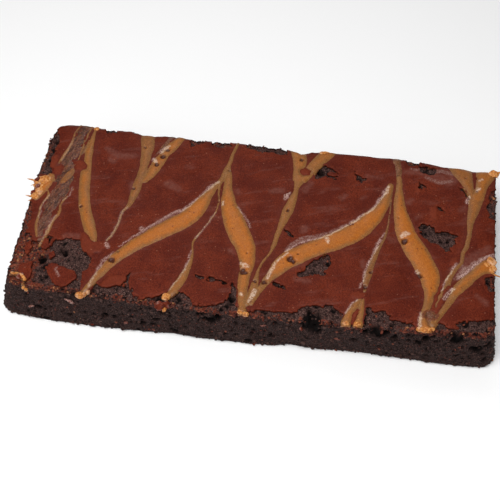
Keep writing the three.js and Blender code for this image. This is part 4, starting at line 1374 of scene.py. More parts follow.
@dataclass(frozen=True)
class CaramelFinish:
    """Baked caramel: satin, clear where thick, tan where thin, stained where it ran."""

    rich: Colour = srgb(168, 95, 28)
    tan: Colour = srgb(136, 87, 42)
    rim: Colour = srgb(122, 82, 44)
    fringe: Colour = srgb(84, 44, 30)
    stained: Colour = srgb(97, 59, 47)
    murky: Colour = srgb(50, 25, 20)
    burnt: Colour = srgb(92, 40, 24)
    lit: Colour = srgb(206, 142, 78)
    pit: Colour = srgb(70, 33, 20)
    # colour of the pale lines and dabs, partly painted highlight
    bloom: Colour = srgb(212, 186, 164)

    def make(self) -> Material:
        """Builds the material."""
        b = Bench("baked_caramel")
        glow = b.plus(b.read("glow"), b.ramp(b.noise(4, 3), 0.25, 0.75, -0.22, 0.18), clamp=True)
        base = b.mix(glow, self.tan, self.rich)
        base = b.mix(b.ramp(b.noise(1.0, 3, 0.6), 0.4, 0.75, 0, 0.2), base, self.burnt)
        depth = b.plus(b.read("depth"), b.ramp(b.noise(1.5, 2), 0.3, 0.7, -0.3, 0.3))
        base = b.mix(b.ramp(depth, 0.2, 2.2, 0.9, 0), base, self.rim)
        base = b.mix(b.ramp(depth, -0.1, 0.24, 0.75, 0), base, self.fringe)
        spot = b.times(b.ramp(b.flecks(1.9), 0.2, 0.1), b.ramp(b.noise(6, 1), 0.5, 0.6))
        base = b.mix(b.times(spot, 0.7), base, self.burnt)
        lit = b.times(b.read("lit"), b.ramp(b.noise(0.8, 3, 0.7), 0.4, 0.58, 0, 1.0))
        base = b.mix(lit, base, self.lit)
        streak = b.ramp(b.noise(0.9, 4, 0.75, b.tilted(1.2, 0.3)), 0.42, 0.58)
        film = b.mix(streak, self.murky, self.stained)
        film = b.mix(b.ramp(b.noise(1.3, 3, 0.65, b.tilted(1.2, 0.5)), 0.54, 0.64, 0, 0.8), film, self.burnt)
        film = b.mix(b.ramp(b.noise(0.45, 2, 0.6), 0.62, 0.7, 0, 0.3), film, self.bloom)
        stain = b.times(b.read("murk"), b.ramp(b.noise(2.2, 3, 0.6), 0.25, 0.45, 0.6, 1.0))
        base = b.mix(stain, base, film)
        base = b.mix(b.read("ring"), base, self.burnt)
        fine = b.noise(0.36, 2, 0.8)
        base = b.mix(b.ramp(fine, 0.5, 0.34, 0, 0.4), base, self.burnt)
        base = b.mix(b.ramp(fine, 0.55, 0.7, 0, 0.35), base, self.lit)
        speckle = b.ramp(b.noise(0.42, 3, 0.7), 0.4, 0.56, 0.1, 1.0)
        # Pale lines and dabs, and pale patches on the lumps: partly real, partly painted highlight.
        bloom = b.times(b.read("bloom"), speckle)
        base = b.mix(b.times(bloom, 0.72), base, self.bloom)
        base = b.mix(b.read("pit"), base, self.pit)
        grain = b.plus(b.noise(0.45, 3, 0.6), b.times(b.noise(2.2, 2), 1.5))
        b.set(
            Base_Color=base,
            Roughness=b.ramp(b.noise(2.4, 2), 0.3, 0.7, 0.3, 0.48),
            Specular_IOR_Level=0.24,
            Subsurface_Weight=0.08,
            Subsurface_Radius=(0.0012, 0.0006, 0.0003),
            Subsurface_Scale=1.0,
            Normal=b.bump(grain, 0.4, 0.1),
        )
        return b.material


@dataclass(frozen=True)
class CrumbFinish:
    """Open crumb: dull and granular, with painted shade: near black in its pores, holes and sunken relief,
    and darker on the cut faces than on the torn top; littered where crust crumbled.
    """

    # black: also the painted shade in pores, holes and sunken relief
    black: Colour = srgb(14, 8, 7)
    dark: Colour = srgb(40, 27, 25)
    # the crumb's colour on the cut faces: a darker copy of the torn top's, as painted shade
    face: Colour = srgb(54, 38, 36)
    lit_top: Colour = srgb(78, 54, 50)
    pale: Colour = srgb(132, 102, 92)
    red: Colour = srgb(110, 47, 31)

    def make(self) -> Material:
        """Builds the material."""
        b = Bench("open_crumb")
        # Painted shade: the cut faces get a darker copy of the crumb's colour than the torn top, and fewer
        # pale specks.
        upright = b.read("upright")
        lit_top_or_shaded_face = b.mix(upright, self.lit_top, self.face)
        base = b.mix(b.ramp(b.noise(1.0, 4, 0.7), 0.3, 0.56), self.dark, lit_top_or_shaded_face)
        fine = b.noise(0.36, 2, 0.8)
        base = b.mix(b.ramp(fine, 0.5, 0.34, 0, 0.9), base, self.black)
        specks = b.ramp(fine, 0.56, 0.66, 0, 0.9)
        specks = b.times(specks, b.ramp(upright, 0.0, 1.0, 1.0, 0.45))
        base = b.mix(specks, base, self.pale)
        base = b.mix(b.ramp(b.noise(0.8, 3, 0.7), 0.44, 0.37, 0, 0.95), base, self.black)
        chips = b.ramp(b.noise(1.3, 2, 0.6, b.stretched(0.7, 1, 1.3)), 0.72, 0.75, 0, 0.7)
        base = b.mix(chips, base, self.pale)
        scatter = b.ramp(b.noise(0.8, 3, 0.6, b.stretched(1, 1, 1.3)), 0.65, 0.69, 0, 0.85)
        litter = b.times(b.read("litter"), b.ramp(b.noise(0.8, 3, 0.6), 0.46, 0.56))
        base = b.mix(b.most(scatter, litter), base, self.red)
        # Painted shade: black in the pores, holes and sunken relief.
        base = b.mix(b.read("hollow"), base, self.black)
        grain = b.plus(b.noise(0.3, 3, 0.7), b.times(b.noise(0.9, 3, 0.6), 1.5))
        b.set(
            Base_Color=base,
            Roughness=0.86,
            Specular_IOR_Level=0.1,
            Normal=b.bump(grain, 0.9, 0.35),
        )
        return b.material


@dataclass(frozen=True)
class BitFinish:
    """Loose bits of one kind: two tones of it, mottled."""

    name: str
    one: Colour
    other: Colour
    roughness: float = 0.8

    def make(self) -> Material:
        """Builds the material."""
        b = Bench(self.name)
        base = b.mix(b.ramp(b.noise(1.6, 2, 0.6), 0.42, 0.58), self.one, self.other)
        b.set(
            Base_Color=base,
            Roughness=b.ramp(b.noise(0.5, 2), 0.3, 0.7, self.roughness - 0.1, self.roughness + 0.1),
            Specular_IOR_Level=0.12,
            Normal=b.bump(b.noise(0.3, 3, 0.6), 0.6, 0.15),
        )
        return b.material


# The pieces

@dataclass(frozen=True)
class Skin:
    """The body's surface, for what lies on it: one row or value for each of its points.

    Attributes:
        points: where it is.
        normals: which way it faces.
        share: its height as a share of the slab's.
        on_top: whether it belongs to the top.
        torn: how deep it lies inside a tear.
        litter: how much litter lies there, from 0 to 1.
        sound: 1 where there is no hole, 0 in one.
    """

    points: Array
    normals: Array
    share: Array
    on_top: Array
    torn: Array
    litter: Array
    sound: Array


@dataclass
class CrumbBody:
    """The slab itself: dull open crumb with pores, under the crust and bare where it is torn."""

    plan: SlabPlan
    swirl: Swirl
    coarse: float = 1.7  # size of the hidden faces
    cuts: int = 3  # how much finer the bare faces are cut
    under_crust: float = 1.0  # how far under the crust's face the hidden top lies
    bare_depth: float = 0.95  # and the top where it is bare
    hole_depth: float = 4.2
    look_slant: float = 0.707  # holes in the cut faces run in on this slope
    crag_size: float = 6.5
    crag_depth: float = 0.55
    pores: tuple[tuple[float, float, float, float], ...] = (
        (20.6, -34.4, 15.6, 3.2), (21.8, -34.6, 12.2, 2), (41, -34.4, 14.2, 2), (46, -34.4, 12.6, 1.4),
        (-11, -35.2, 12, 1.7), (-26.5, -35.2, 13, 1.2), (64.6, -34, 14.2, 2), (53.4, -34.2, 11.2, 1.5),
        (72, -33.6, 10, 1.7), (-55, -34.6, 16.6, 1.7), (-45.6, -34.8, 17, 1.4), (34, -34.6, 9.2, 1.3),
        (-68, -34.8, 6.4, 1.2), (-29, -35.4, 8.2, 1.2), (8, -35, 6.6, 1.1), (-79, -8, 10, 1.6),
        (-78.6, 14, 13, 1.5), (-79.4, 25, 6, 1.4), (77, 12, 12, 1.6), (78.2, -16, 7, 1.5),
        (-50, 34.2, 12, 1.5), (-12, 34.4, 9, 1.6), (26, 34.2, 13, 1.7), (58, 34, 8, 1.5),
    )
    skin: Skin | None = None

    def build(self, material: Material) -> None:
        """Builds the body.

        Args:
            material: its finish.
        """
        plan = self.plan
        across = round(2 * plan.half_length / self.coarse)
        deep = round(2 * plan.half_width / self.coarse)
        rows = round(plan.thickness / self.coarse)
        work = Shaping.grid("crumb", across, deep)
        work.pick_faces(np.ones(len(work.mesh.polygons), bool))
        step = {"TRANSFORM_OT_translate": {"value": (0, 0, 1 / rows)}}
        work.edit(*[(bpy.ops.mesh.extrude_region_move, step)] * rows)
        work.edit(
            (bpy.ops.mesh.select_all, {"action": "SELECT"}),
            (bpy.ops.mesh.normals_make_consistent, {"inside": False}),
        )
        middle = work.face_middles()
        x, y = plan.place(middle[:, 0], middle[:, 1], np.ones(len(middle)))
        torn = self.swirl.torn(x, y)[0]
        on_top = middle[:, 2] >= 1 - ON_FACE
        on_side = (middle[:, 2] > ON_FACE) & ~on_top
        bare = on_top & ((torn > -self.coarse) | (plan.inward(x, y) < self.coarse))
        work.refine(on_side | bare, self.cuts)
        self._shape(work)
        work.finish(material, "crumb")

    @staticmethod
    def _grain(p: Array) -> Array:
        """Relief of broken crumb at each point: lumps, grains and finer grains."""
        lumps = 0.34 * fractal(p, 2.6, 2, 71)
        spot, value = cells(p, 1.3, 72)
        grains = 0.42 * (0.55 - spot) + 0.3 * (value - 0.5)
        spot, value = cells(p, 0.62, 73)
        grains += 0.2 * (0.55 - spot) + 0.1 * (value - 0.5)
        return lumps + grains

    @staticmethod
    def _small_pores(p: Array) -> Array:
        """How deep the pores between the grains are at each point."""
        pores = np.zeros(len(p))
        for size, widest, deepest, seed in ((3.4, 0.36, 1.3, 74), (1.9, 0.34, 0.7, 75)):
            gap, value = cells(p, size, seed)
            pores += deepest * ease(widest * value + 0.06 - gap, 0.0, 0.12)
        return pores

    def _large_pores(self, p: Array) -> Array:
        """How deep the pores that are set one by one are at each point."""
        deep = np.zeros(len(p))
        warp = 1 + 0.35 * noise(p, 1.6, 76)
        for cx, cy, cz, radius in self.pores:
            away = np.sqrt(((p[:, 0] - cx) / 1.2) ** 2 + (p[:, 1] - cy) ** 2 + (p[:, 2] - cz) ** 2)
            deep = np.maximum(deep, (1 - ease(away * warp / radius, 0.45, 1.1)) * radius * 1.1)
        return deep

    def _shape(self, work: Shaping) -> None:
        """Takes the box of cells to the slab and gives it its relief."""
        plan = self.plan
        unit = work.points
        share = np.clip(unit[:, 2], 0, 1)
        on_top, off_base = share >= 1 - ON_FACE, share > ON_FACE
        level = np.where(off_base, np.maximum(share, plan.foot_height / plan.thickness), 0.0)
        x, y = plan.place(unit[:, 0], unit[:, 1], level)
        torn, litter = self.swirl.torn(x, y)
        inward = plan.inward(x, y)
        work.points = np.column_stack([x, y, level * plan.crust_height(x, y)])
        p, normal = work.points, work.normals

        edge = 1 - ease(inward, 0.0, 1.4)
        bare = np.where(on_top, np.maximum(ease(torn, -0.5, 0.3), edge), 1.0) * off_base
        swell = np.sin(np.pi * np.minimum(share, 0.8)) * ~on_top
        crag = self.crag_depth * swell * noise(p, self.crag_size)
        small = self._small_pores(p) * np.where(on_top, 0.6, 0.8)
        large = self._large_pores(p)
        slant = y - self.look_slant * (plan.thickness - p[:, 2])
        holes = self.swirl.holed(x, slant) * (on_top | (y < 0) & (share > 0.35))
        relief = crag + bare * (self._grain(p) - small - large) - 2.6 * holes * ~on_top
        sink = np.where(on_top, self.under_crust + bare * (self.bare_depth - self.under_crust), 0)
        sink += holes * np.where(on_top, self.hole_depth, 2.2 * ease(share, 0.75, 1.0))
        sink += on_top * bare * 0.35 * (fractal(p, 4.2, 2, 77) + 0.4)
        moved = p + normal * relief[:, None]
        moved[:, 2] -= sink
        moved[:, 2] = np.where(off_base, np.maximum(moved[:, 2], 0.02), 0.0)
        work.points = moved

        # Painted shade: pores, holes and sunken relief are painted black, where shade falls.
        shaded = np.clip((small * 1.2 + large * 0.9) * bare + 2.4 * holes, 0, 1)
        hollow = np.clip(shaded + 0.7 * ease(-relief, 0.2, 0.9), 0, 1)
        rim = (inward < 1.5) * ease(share, 0.86, 0.97)
        litter = litter * on_top + 0.9 * rim * ease(noise(p, 3.4, 78), -0.4, 0.4)
        litter = np.clip(litter * (1 - holes), 0, 1)
        work.note(hollow=hollow, litter=litter, upright=1.0 - on_top)
        # Subdividing leaves the points in no fixed order, so the skin lists them by their place.
        order = np.lexsort(np.round(unit, 5).T)
        sound = 1 - np.clip(3 * holes, 0, 1)
        told = (moved, work.normals, share, on_top, torn, litter, sound)
        self.skin = Skin(*(values[order] for values in told))


@dataclass
class Crust:
    """The browned crust: a thin sheet over the slab with the tears cut out of it."""

    plan: SlabPlan
    swirl: Swirl
    cell: float = 0.42
    thickness: float = 0.85
    ragged: float = 0.55  # how far its outline strays
    curl: float = 0.16  # how far it curls up at a tear's edge
    flake_lift: float = 0.32
    crater_sink: float = 0.95  # it gives way under a burst bubble
    ridge_height: float = 0.1  # thickness of the raised pale lines, and of the lip beside a ribbon
    film: float = 1.15  # how strongly the streaked pale film, partly painted sheen, covers it

    def surface(self, x: Array, y: Array) -> Array:
        """Height of the crust's face with its wrinkles and dents."""
        p = on_plan(x, y)
        stretched = p * np.array([0.4, 1.0, 1.0])
        relief = 0.1 * fractal(p, 11, 2, 81) + 0.07 * fractal(stretched, 3.2, 2, 82)
        relief += 0.03 * fractal(p, 1.2, 2, 83)
        relief -= 0.28 * self.swirl.hollow(self.swirl.dents, x, y)
        calm = ease(self.plan.inward(x, y), 0, 1.5)
        return self.plan.crust_height(x, y) + relief * (0.4 + 0.6 * calm)

    def build(self, material: Material) -> None:
        """Builds the crust.

        Args:
            material: its finish.
        """
        plan = self.plan
        across = round(2 * plan.half_length / self.cell)
        deep = round(2 * plan.half_width / self.cell)
        work = Shaping.grid("crust", across, deep)
        unit, middle = work.points, work.face_middles()
        x, y = self._fray(*plan.place(unit[:, 0], unit[:, 1], np.ones(len(unit))))
        mx, my = self._fray(*plan.place(middle[:, 0], middle[:, 1], np.ones(len(middle))))
        keep = work.sound_faces(self._tear_depth(mx, my) < 0, across, deep)
        near = np.abs(self._tear_depth(x, y)) < self.cell * 0.75
        x, y = drawn_to_edge(x, y, self._tear_depth, near, self.cell * 0.45)
        self._lay(work, x, y)
        work.cut_away(~keep)
        work.thicken(self.thickness)
        work.finish(material, "crust")

    def _tear_depth(self, x: Array, y: Array) -> Array:
        """How deep each point lies inside a tear."""
        return self.swirl.torn(x, y)[0]

    def _lay(self, work: Shaping, x: Array, y: Array) -> None:
        """Sets the sheet's points at their height and notes what is there.

        Args:
            work: the sheet.
            x, y: where its points lie on the plan.
        """
        swirl = self.swirl
        p = on_plan(x, y)
        torn, flake = self._tear_depth(x, y), swirl.flaked(x, y)
        caramel = swirl.caramel(x, y)
        # pale lines and dabs, partly painted highlight; they also raise the crust a little
        bloom = swirl.wash(swirl.bloom, x, y, 0.3)
        z = self.surface(x, y)
        z += self.curl * ease(torn, -1.1, -0.1) * (0.2 + ease(noise(p, 2.6, 84), -0.4, 0.6))
        covered = ease(caramel["depth"], 0.1, 0.5)
        z -= self.crater_sink * covered * swirl.hollow(swirl.craters, x, y)
        lip = np.exp(-((caramel["depth"] + 0.35) / 0.4) ** 2) * (caramel["side"] > 0)
        z += self.ridge_height * lip
        z += self.ridge_height * bloom
        z += ease(flake, -0.25, 0.15) * (self.flake_lift + 0.12 * noise(p, 1.4, 87))
        work.points = np.column_stack([x, y, z])
        alone = np.maximum(swirl.on_island(x, y), ease(flake, -0.3, 0.1))
        work.note(
            torn=torn,
            bloom=bloom,
            flake=ease(flake, -0.3, 0.2),
            alone=alone,
            beside=np.exp(np.minimum(caramel["depth"], 0) / 0.9) * (1 - alone),
            # painted sheen, kept off the islands and lifted flakes
            haze=swirl.wash(swirl.haze, x, y, 1.2) * (1 - alone),
            # pale film, partly painted sheen
            veil=self.film * swirl.wash(swirl.veils, x, y, 0.4) * (1 - alone),
        )

    def _fray(self, x: Array, y: Array) -> tuple[Array, Array]:
        """Pulls the outline in and out a little, most at the edge itself."""
        p = on_plan(x, y)
        out = self.ragged * (0.6 * noise(p, 4.4, 85) + 0.5 * noise(p, 1.5, 86) - 0.35)
        edge = 1 - ease(self.plan.inward(x, y), 0, 2.2)
        sides = np.where(x > 0, 0.35, 1.0) * (np.abs(x) > 72)
        ends = np.where(y > 0, 0.6, 1.0) * (np.abs(y) > 29)
        x = x + (np.sign(x) * out * sides + 0.25 * (x > 72)) * edge
        return x, y + (np.sign(y) * out * ends + 0.25 * (y > 29)) * edge


@dataclass
class Caramel:
    """The swirl: ribbons of caramel that stand a little proud of the crust."""

    plan: SlabPlan
    swirl: Swirl
    crust: Crust
    cell: float = 0.3
    spare: float = 2.0  # how far the grid reaches past the slab's plan
    drop: float = 0.75  # how far down a ribbon is rooted
    root: float = 0.12  # its edge lies this far under the crust's face
    crown: float = 0.3
    crown_share: float = 0.05  # wider ribbons stand this share of their width higher
    crater_depth: float = 0.9
    ridge_height: float = 0.1

    def _edge(self, x: Array, y: Array) -> Array:
        """Depth inside the caramel and inside the slab's outline."""
        return np.minimum(self.swirl.caramel(x, y)["depth"], self.plan.inward(x, y) + 0.15)

    def build(self, material: Material) -> None:
        """Builds all ribbons as one piece.

        Args:
            material: its finish.
        """
        reach_x, reach_y = self.plan.half_length + self.spare, self.plan.half_width + self.spare
        reach = np.array([reach_x, reach_y, 1])
        across, deep = round(2 * reach_x / self.cell), round(2 * reach_y / self.cell)
        work = Shaping.grid("caramel", across, deep)
        middle = work.face_middles() * reach
        keep = work.sound_faces(self._edge(middle[:, 0], middle[:, 1]) > 0, across, deep)
        work.cut_away(~keep)
        points = work.points * reach
        x, y = points[:, 0], points[:, 1]
        near = np.abs(self._edge(x, y)) < self.cell * 0.75
        x, y = drawn_to_edge(x, y, self._edge, near, self.cell * 0.5)
        self._lay(work, x, y)
        work.thicken(self.drop)
        work.finish(material, "caramel")

    def _eyes(self, p: Array) -> tuple[Array, Array]:
        """How strongly each point lies on an eye's ring, and in its stained middle."""
        ring, stain = np.zeros(len(p)), np.zeros(len(p))
        for cx, cy, radius in self.swirl.eyes:
            away = np.hypot((p[:, 0] - cx) / 1.15, (p[:, 1] - cy) / 0.85) / radius
            away = away + 0.15 * noise(p, 1.2, 93)
            ring = np.maximum(ring, np.exp(-((away - 1) / 0.2) ** 2))
            stain = np.maximum(stain, 0.9 * (1 - ease(away, 0.7, 0.95)))
        return ring, stain

    def _lay(self, work: Shaping, x: Array, y: Array) -> None:
        """Sets the ribbons' points at their height and notes what is there.

        Args:
            work: the ribbons.
            x, y: where their points lie on the plan.
        """
        p = on_plan(x, y)
        caramel = self.swirl.caramel(x, y)
        depth, width = np.maximum(caramel["depth"], 0), caramel["width"]
        share = np.clip(depth / (0.5 * width), 0, 1)
        ring, stain = self._eyes(p)
        murk = np.maximum(np.clip(caramel["murk"], 0, 1), stain)
        rise = (self.crown + self.crown_share * width) * np.sin(np.pi / 2 * share) ** 0.8
        rise *= 1 - 0.55 * caramel["murk"]
        rise += 0.05 * fractal(p, 2.8, 2, 91) + murk * 0.12 * fractal(p, 1.6, 2, 92) + 0.15 * ring
        pit = self.swirl.hollow(self.swirl.craters, x, y)
        # pale lines and dabs, partly painted highlight; they also raise the caramel a little
        bloom = self.swirl.wash(self.swirl.bloom, x, y, 0.25)
        z = self.crust.surface(x, y) - self.root + rise - self.crater_depth * pit + self.ridge_height * bloom
        work.points = np.column_stack([x, y, z])
        glow, pit = caramel["glow"], ease(pit, 0.12, 0.65)
        work.note(depth=depth, murk=murk, ring=ring, glow=glow, pit=pit, bloom=bloom)


@dataclass(frozen=True)
class Strewing:
    """How thickly one kind of bit lies on each part of the slab, against its other parts.

    Attributes:
        bare: on open crumb, where the crust is missing.
        sides: on the cut faces.
        foot: along the foot of the cut faces.
        rim: along the crust's outline, most of it at the front.
        tears: just inside the tears.
        crumbled: where the crust has crumbled.
    """

    bare: float = 0.0
    sides: float = 0.0
    foot: float = 0.0
    rim: float = 0.0
    tears: float = 0.0
    crumbled: float = 0.0

    def weigh(self, plan: SlabPlan, skin: Skin) -> Array:
        """How likely a bit is at each point of the slab's surface; there are none in its holes."""
        x, y = skin.points[:, 0], skin.points[:, 1]
        at_rim = ease(skin.share, 0.85, 0.95) * (np.abs(plan.inward(x, y)) < 1.6)
        at_rim *= np.where((y < -30) & (np.abs(x) < 74), 1.1, 0.12)
        parts = (
            (self.bare, skin.on_top * ease(skin.torn, 0.0, 0.4)),
            (self.sides, (~skin.on_top) * (skin.share > 0.02)),
            (self.foot, (skin.share > 0.01) * ease(-skin.share, -0.12, -0.03)),
            (self.rim, at_rim),
            (self.tears, skin.on_top * np.exp(-((skin.torn - 0.5) / 0.5) ** 2)),
            (self.crumbled, skin.litter * skin.on_top),
        )
        return sum(thickness * part for thickness, part in parts) * skin.sound


@dataclass
class LooseBits:
    """Small bits of one kind that lie on the slab or stick to it, joined as one piece.

    Attributes:
        name: the piece's name.
        count: how many there are.
        smallest, largest: their sizes in millimetres.
        flat: their height as a share of their width.
        sunk: how deep they are sunk in, as a share of their height.
        seed: the seed of their places and shapes.
    """

    name: str
    count: int
    smallest: float
    largest: float
    flat: float
    sunk: float
    seed: int

    def build(self, skin: Skin, weight: Array, material: Material, slot: str) -> None:
        """Models one bit and lays its copies, each of its own size, turn and shape.

        Args:
            skin: the surface that they lie on.
            weight: how likely a bit is at each of its points.
            material: their finish.
            slot: the record's material slot.
        """
        work = Shaping.ball(self.name, 1)
        bit = work.points
        rng = np.random.default_rng(self.seed)
        at = rng.choice(len(weight), self.count, p=weight / weight.sum())
        spread = rng.random(self.count) ** 2.2  # most of them are small
        size = (self.smallest + (self.largest - self.smallest) * spread) / 2
        shape = bit[None] * rng.uniform(0.72, 1.28, (self.count, len(bit), 1))
        stretch = rng.uniform(0.7, 1.3, (self.count, 1, 3))
        stretch[:, :, 2] *= self.flat
        shape = shape * stretch * size[:, None, None]
        up = skin.normals[at] + rng.normal(0, 0.35, (self.count, 3))
        up /= np.linalg.norm(up, axis=1, keepdims=True)
        along = np.cross(up, rng.normal(0, 1, (self.count, 3)))
        along /= np.linalg.norm(along, axis=1, keepdims=True)
        frame = np.stack([along, np.cross(up, along), up], axis=1)
        shape = np.einsum("nij,njk->nik", shape, frame)
        rest = skin.points[at] + skin.normals[at] * (size * self.flat * (1 - 2 * self.sunk))[:, None]
        places = shape + rest[:, None, :]
        places[..., 2] = np.maximum(places[..., 2], 0.03)
        work.repeat(places)
        work.finish(material, slot, smooth=False)


class LumpKind(Enum):
    """What a lump is made of."""

    CARAMEL = "caramel_lumps"
    CRUST = "crust_lumps"


@dataclass(frozen=True)
class Lump:
    """One lump, in millimetres and degrees.

    Attributes:
        middle: its middle.
        half: its half sizes.
        turn: its turn about z.
        tip: how much its far end is lifted.
        pale: how pale its surface is, from 0 to 1.
    """

    middle: tuple[float, float, float]
    half: tuple[float, float, float]
    turn: float = 0.0
    tip: float = 0.0
    pale: float = 0.0


@dataclass
class Lumps:
    """Blobs and strands that stand proud at the slab's edges."""

    kind: LumpKind
    lumps: tuple[Lump, ...]
    rough: float = 0.45  # how far its surface strays, as a share of its least half size

    def build(self, material: Material, slot: str) -> None:
        """Models one ball for each lump and joins them.

        Args:
            material: their finish.
            slot: the record's material slot.
        """
        work = Shaping.ball(self.kind.value, 4)
        ball = work.points
        copies = []
        for lump in self.lumps:
            turn = math.radians(lump.turn)
            p = ball * np.array(lump.half)
            taper = 1 - 0.75 * ease(ball[:, 0], 0.0, 1.0) * (lump.half[0] > 2.2 * lump.half[1])
            p = p * np.column_stack([np.ones(len(p)), taper, taper])
            p[:, 2] += lump.tip * ball[:, 0]
            p = np.column_stack([
                p[:, 0] * math.cos(turn) - p[:, 1] * math.sin(turn),
                p[:, 0] * math.sin(turn) + p[:, 1] * math.cos(turn),
                p[:, 2],
            ])
            p += np.array(lump.middle)
            small = min(lump.half)
            rough = noise(p, 1.3, 95) + 0.7 * noise(p, 0.65, 96) + 0.3 * noise(p, 0.3, 98)
            out = ball * (self.rough * small * rough)[:, None]
            copies.append(p + out)
        work.repeat(np.array(copies))
        points = work.points
        pale = np.repeat([lump.pale for lump in self.lumps], len(ball))
        work.note(
            depth=np.full(len(points), 3.0),
            glow=0.9 + 0.3 * noise(points, 1.6, 97),
            lit=np.full(len(points), 0.9),
            # pale patches, partly real and partly painted highlight
            bloom=np.maximum(0.5 * ease(noise(points, 1.1, 99), 0.1, 0.5), pale),
        )
        work.finish(material, slot)


EDGE_CARAMEL = (
    Lump((-75, 7.6, 18.3), (2.4, 2.0, 1.0), 20),
    Lump((-75.9, 5.4, 18), (1.8, 2.2, 1.2), -20),
    Lump((-77, 6.8, 18), (1.1, 0.8, 0.7), 10),
    Lump((-75.4, 2.9, 18.1), (1.4, 1.8, 1.0), 30),
    Lump((-76.1, 1, 17.8), (1.3, 1.5, 1.0), 10),
    Lump((-78.8, 7.4, 18.1), (2.0, 0.36, 0.3), 176, 0.3),
    Lump((-78, 6.2, 17.5), (1.6, 0.28, 0.26), 205, -0.3),
    Lump((-78.2, 0.9, 17.5), (1.8, 0.32, 0.28), 178, 0.3),
    Lump((-77.4, -0.5, 17.5), (1.2, 0.28, 0.28), 205, -0.2),
    Lump((-70.4, -34.9, 17.4), (0.6, 0.6, 0.9), 10),
    Lump((-69.6, -35.2, 16.9), (0.6, 0.5, 0.8), -20),
    Lump((-71.6, -31.3, 18.7), (1.3, 0.6, 0.45), -30),
    Lump((-74.2, -30.5, 18.6), (1.4, 0.45, 0.4), 5),
    Lump((-70.4, -32.4, 18.5), (0.7, 0.5, 0.5), -60),
    Lump((-52.5, -35.2, 17.5), (1.2, 0.9, 1.2)),
    Lump((-50.9, -34.8, 17.6), (0.8, 0.7, 1.0), 10),
    Lump((-49.8, -34.2, 18.1), (0.6, 0.6, 0.6), 20),
    Lump((-25.2, -32.4, 18.3), (1.8, 1.3, 0.8), 50),
    Lump((-25.4, -36, 16.2), (0.7, 0.8, 0.9)),
    Lump((-2, -34.6, 18), (0.8, 0.8, 0.8)),
    Lump((0, -35, 17.6), (1.0, 0.8, 1.3), 10),
    Lump((30.6, -34.3, 18), (1.2, 0.8, 0.9)),
    Lump((34.4, -34, 18), (1.3, 0.8, 0.9), 20),
    Lump((53.2, -33, 18.1), (1.3, 0.8, 0.7), 10),
    Lump((55.2, -33.2, 17.9), (1.7, 0.8, 0.9)),
    Lump((57, -32.6, 18), (0.8, 0.7, 0.8)),
    Lump((75.6, 31.2, 18.6), (1.7, 1.3, 0.8), 30),
    Lump((77.2, 31.6, 18.8), (1.2, 0.42, 0.36), 35, 0.3),
    Lump((76.6, 30.2, 18.6), (1.0, 0.36, 0.3), -50, -0.1),
    Lump((74.8, -5.4, 18.2), (1.5, 1.9, 0.8)),
    Lump((75.1, -8, 18.1), (1.2, 1.8, 0.8)),
    Lump((73.4, -6.8, 18.6), (1.1, 1, 0.4), 30),
    Lump((76.6, -10.2, 18), (1.9, 0.34, 0.3), -12, -0.3),
    Lump((-62.9, 33.1, 18.2), (1.0, 0.7, 0.4)),
    Lump((18, 33, 18.4), (1.8, 0.6, 0.4), 12),
)

EDGE_CRUST = (
    Lump((-26.6, -35.4, 17), (1.9, 1.2, 1.5), 20),
    Lump((-24.8, -35, 17.6), (1.2, 1.0, 1.0), -30),
    Lump((-27.9, -35.2, 17.6), (0.9, 0.7, 0.7)),
    Lump((-77, 7.4, 18.9), (0.9, 0.8, 0.5)),
    Lump((-76.2, 4.6, 19.1), (0.8, 0.9, 0.5)),
    Lump((-77.2, 2.4, 18), (1.0, 0.8, 0.8), 20),
    Lump((-72.2, -31.4, 18.6), (1.2, 0.9, 0.5), 40),
    Lump((-56.1, -35, 12.6), (1.9, 0.5, 0.75), -4, -0.8, 0.85),
    Lump((-69.9, -34.9, 6.6), (1.0, 0.4, 0.6), 8, 0.2, 0.6),
    Lump((-38.8, -35.8, 5), (0.7, 0.4, 0.5)),
    Lump((-49.8, -36, 1.8), (0.9, 0.4, 0.35)),
    Lump((5.5, -35.3, 12.8), (0.9, 0.4, 0.45), 0, 0.2, 0.3),
    Lump((17.4, -34.8, 12.5), (0.55, 0.4, 0.95)),
    Lump((35.7, -34.7, 15.6), (0.5, 0.4, 1.0), 10),
    Lump((28.8, -34.5, 8.5), (1.1, 0.4, 0.65), -5, -0.2, 0.2),
)


@dataclass(frozen=True)
class Lamp:
    """One soft square light that faces the slab.

    Attributes:
        name: its name.
        place: where it hangs, in millimetres.
        size: its side in millimetres.
        power: its power in watts.
    """

    name: str
    place: tuple[float, float, float]
    size: float
    power: float


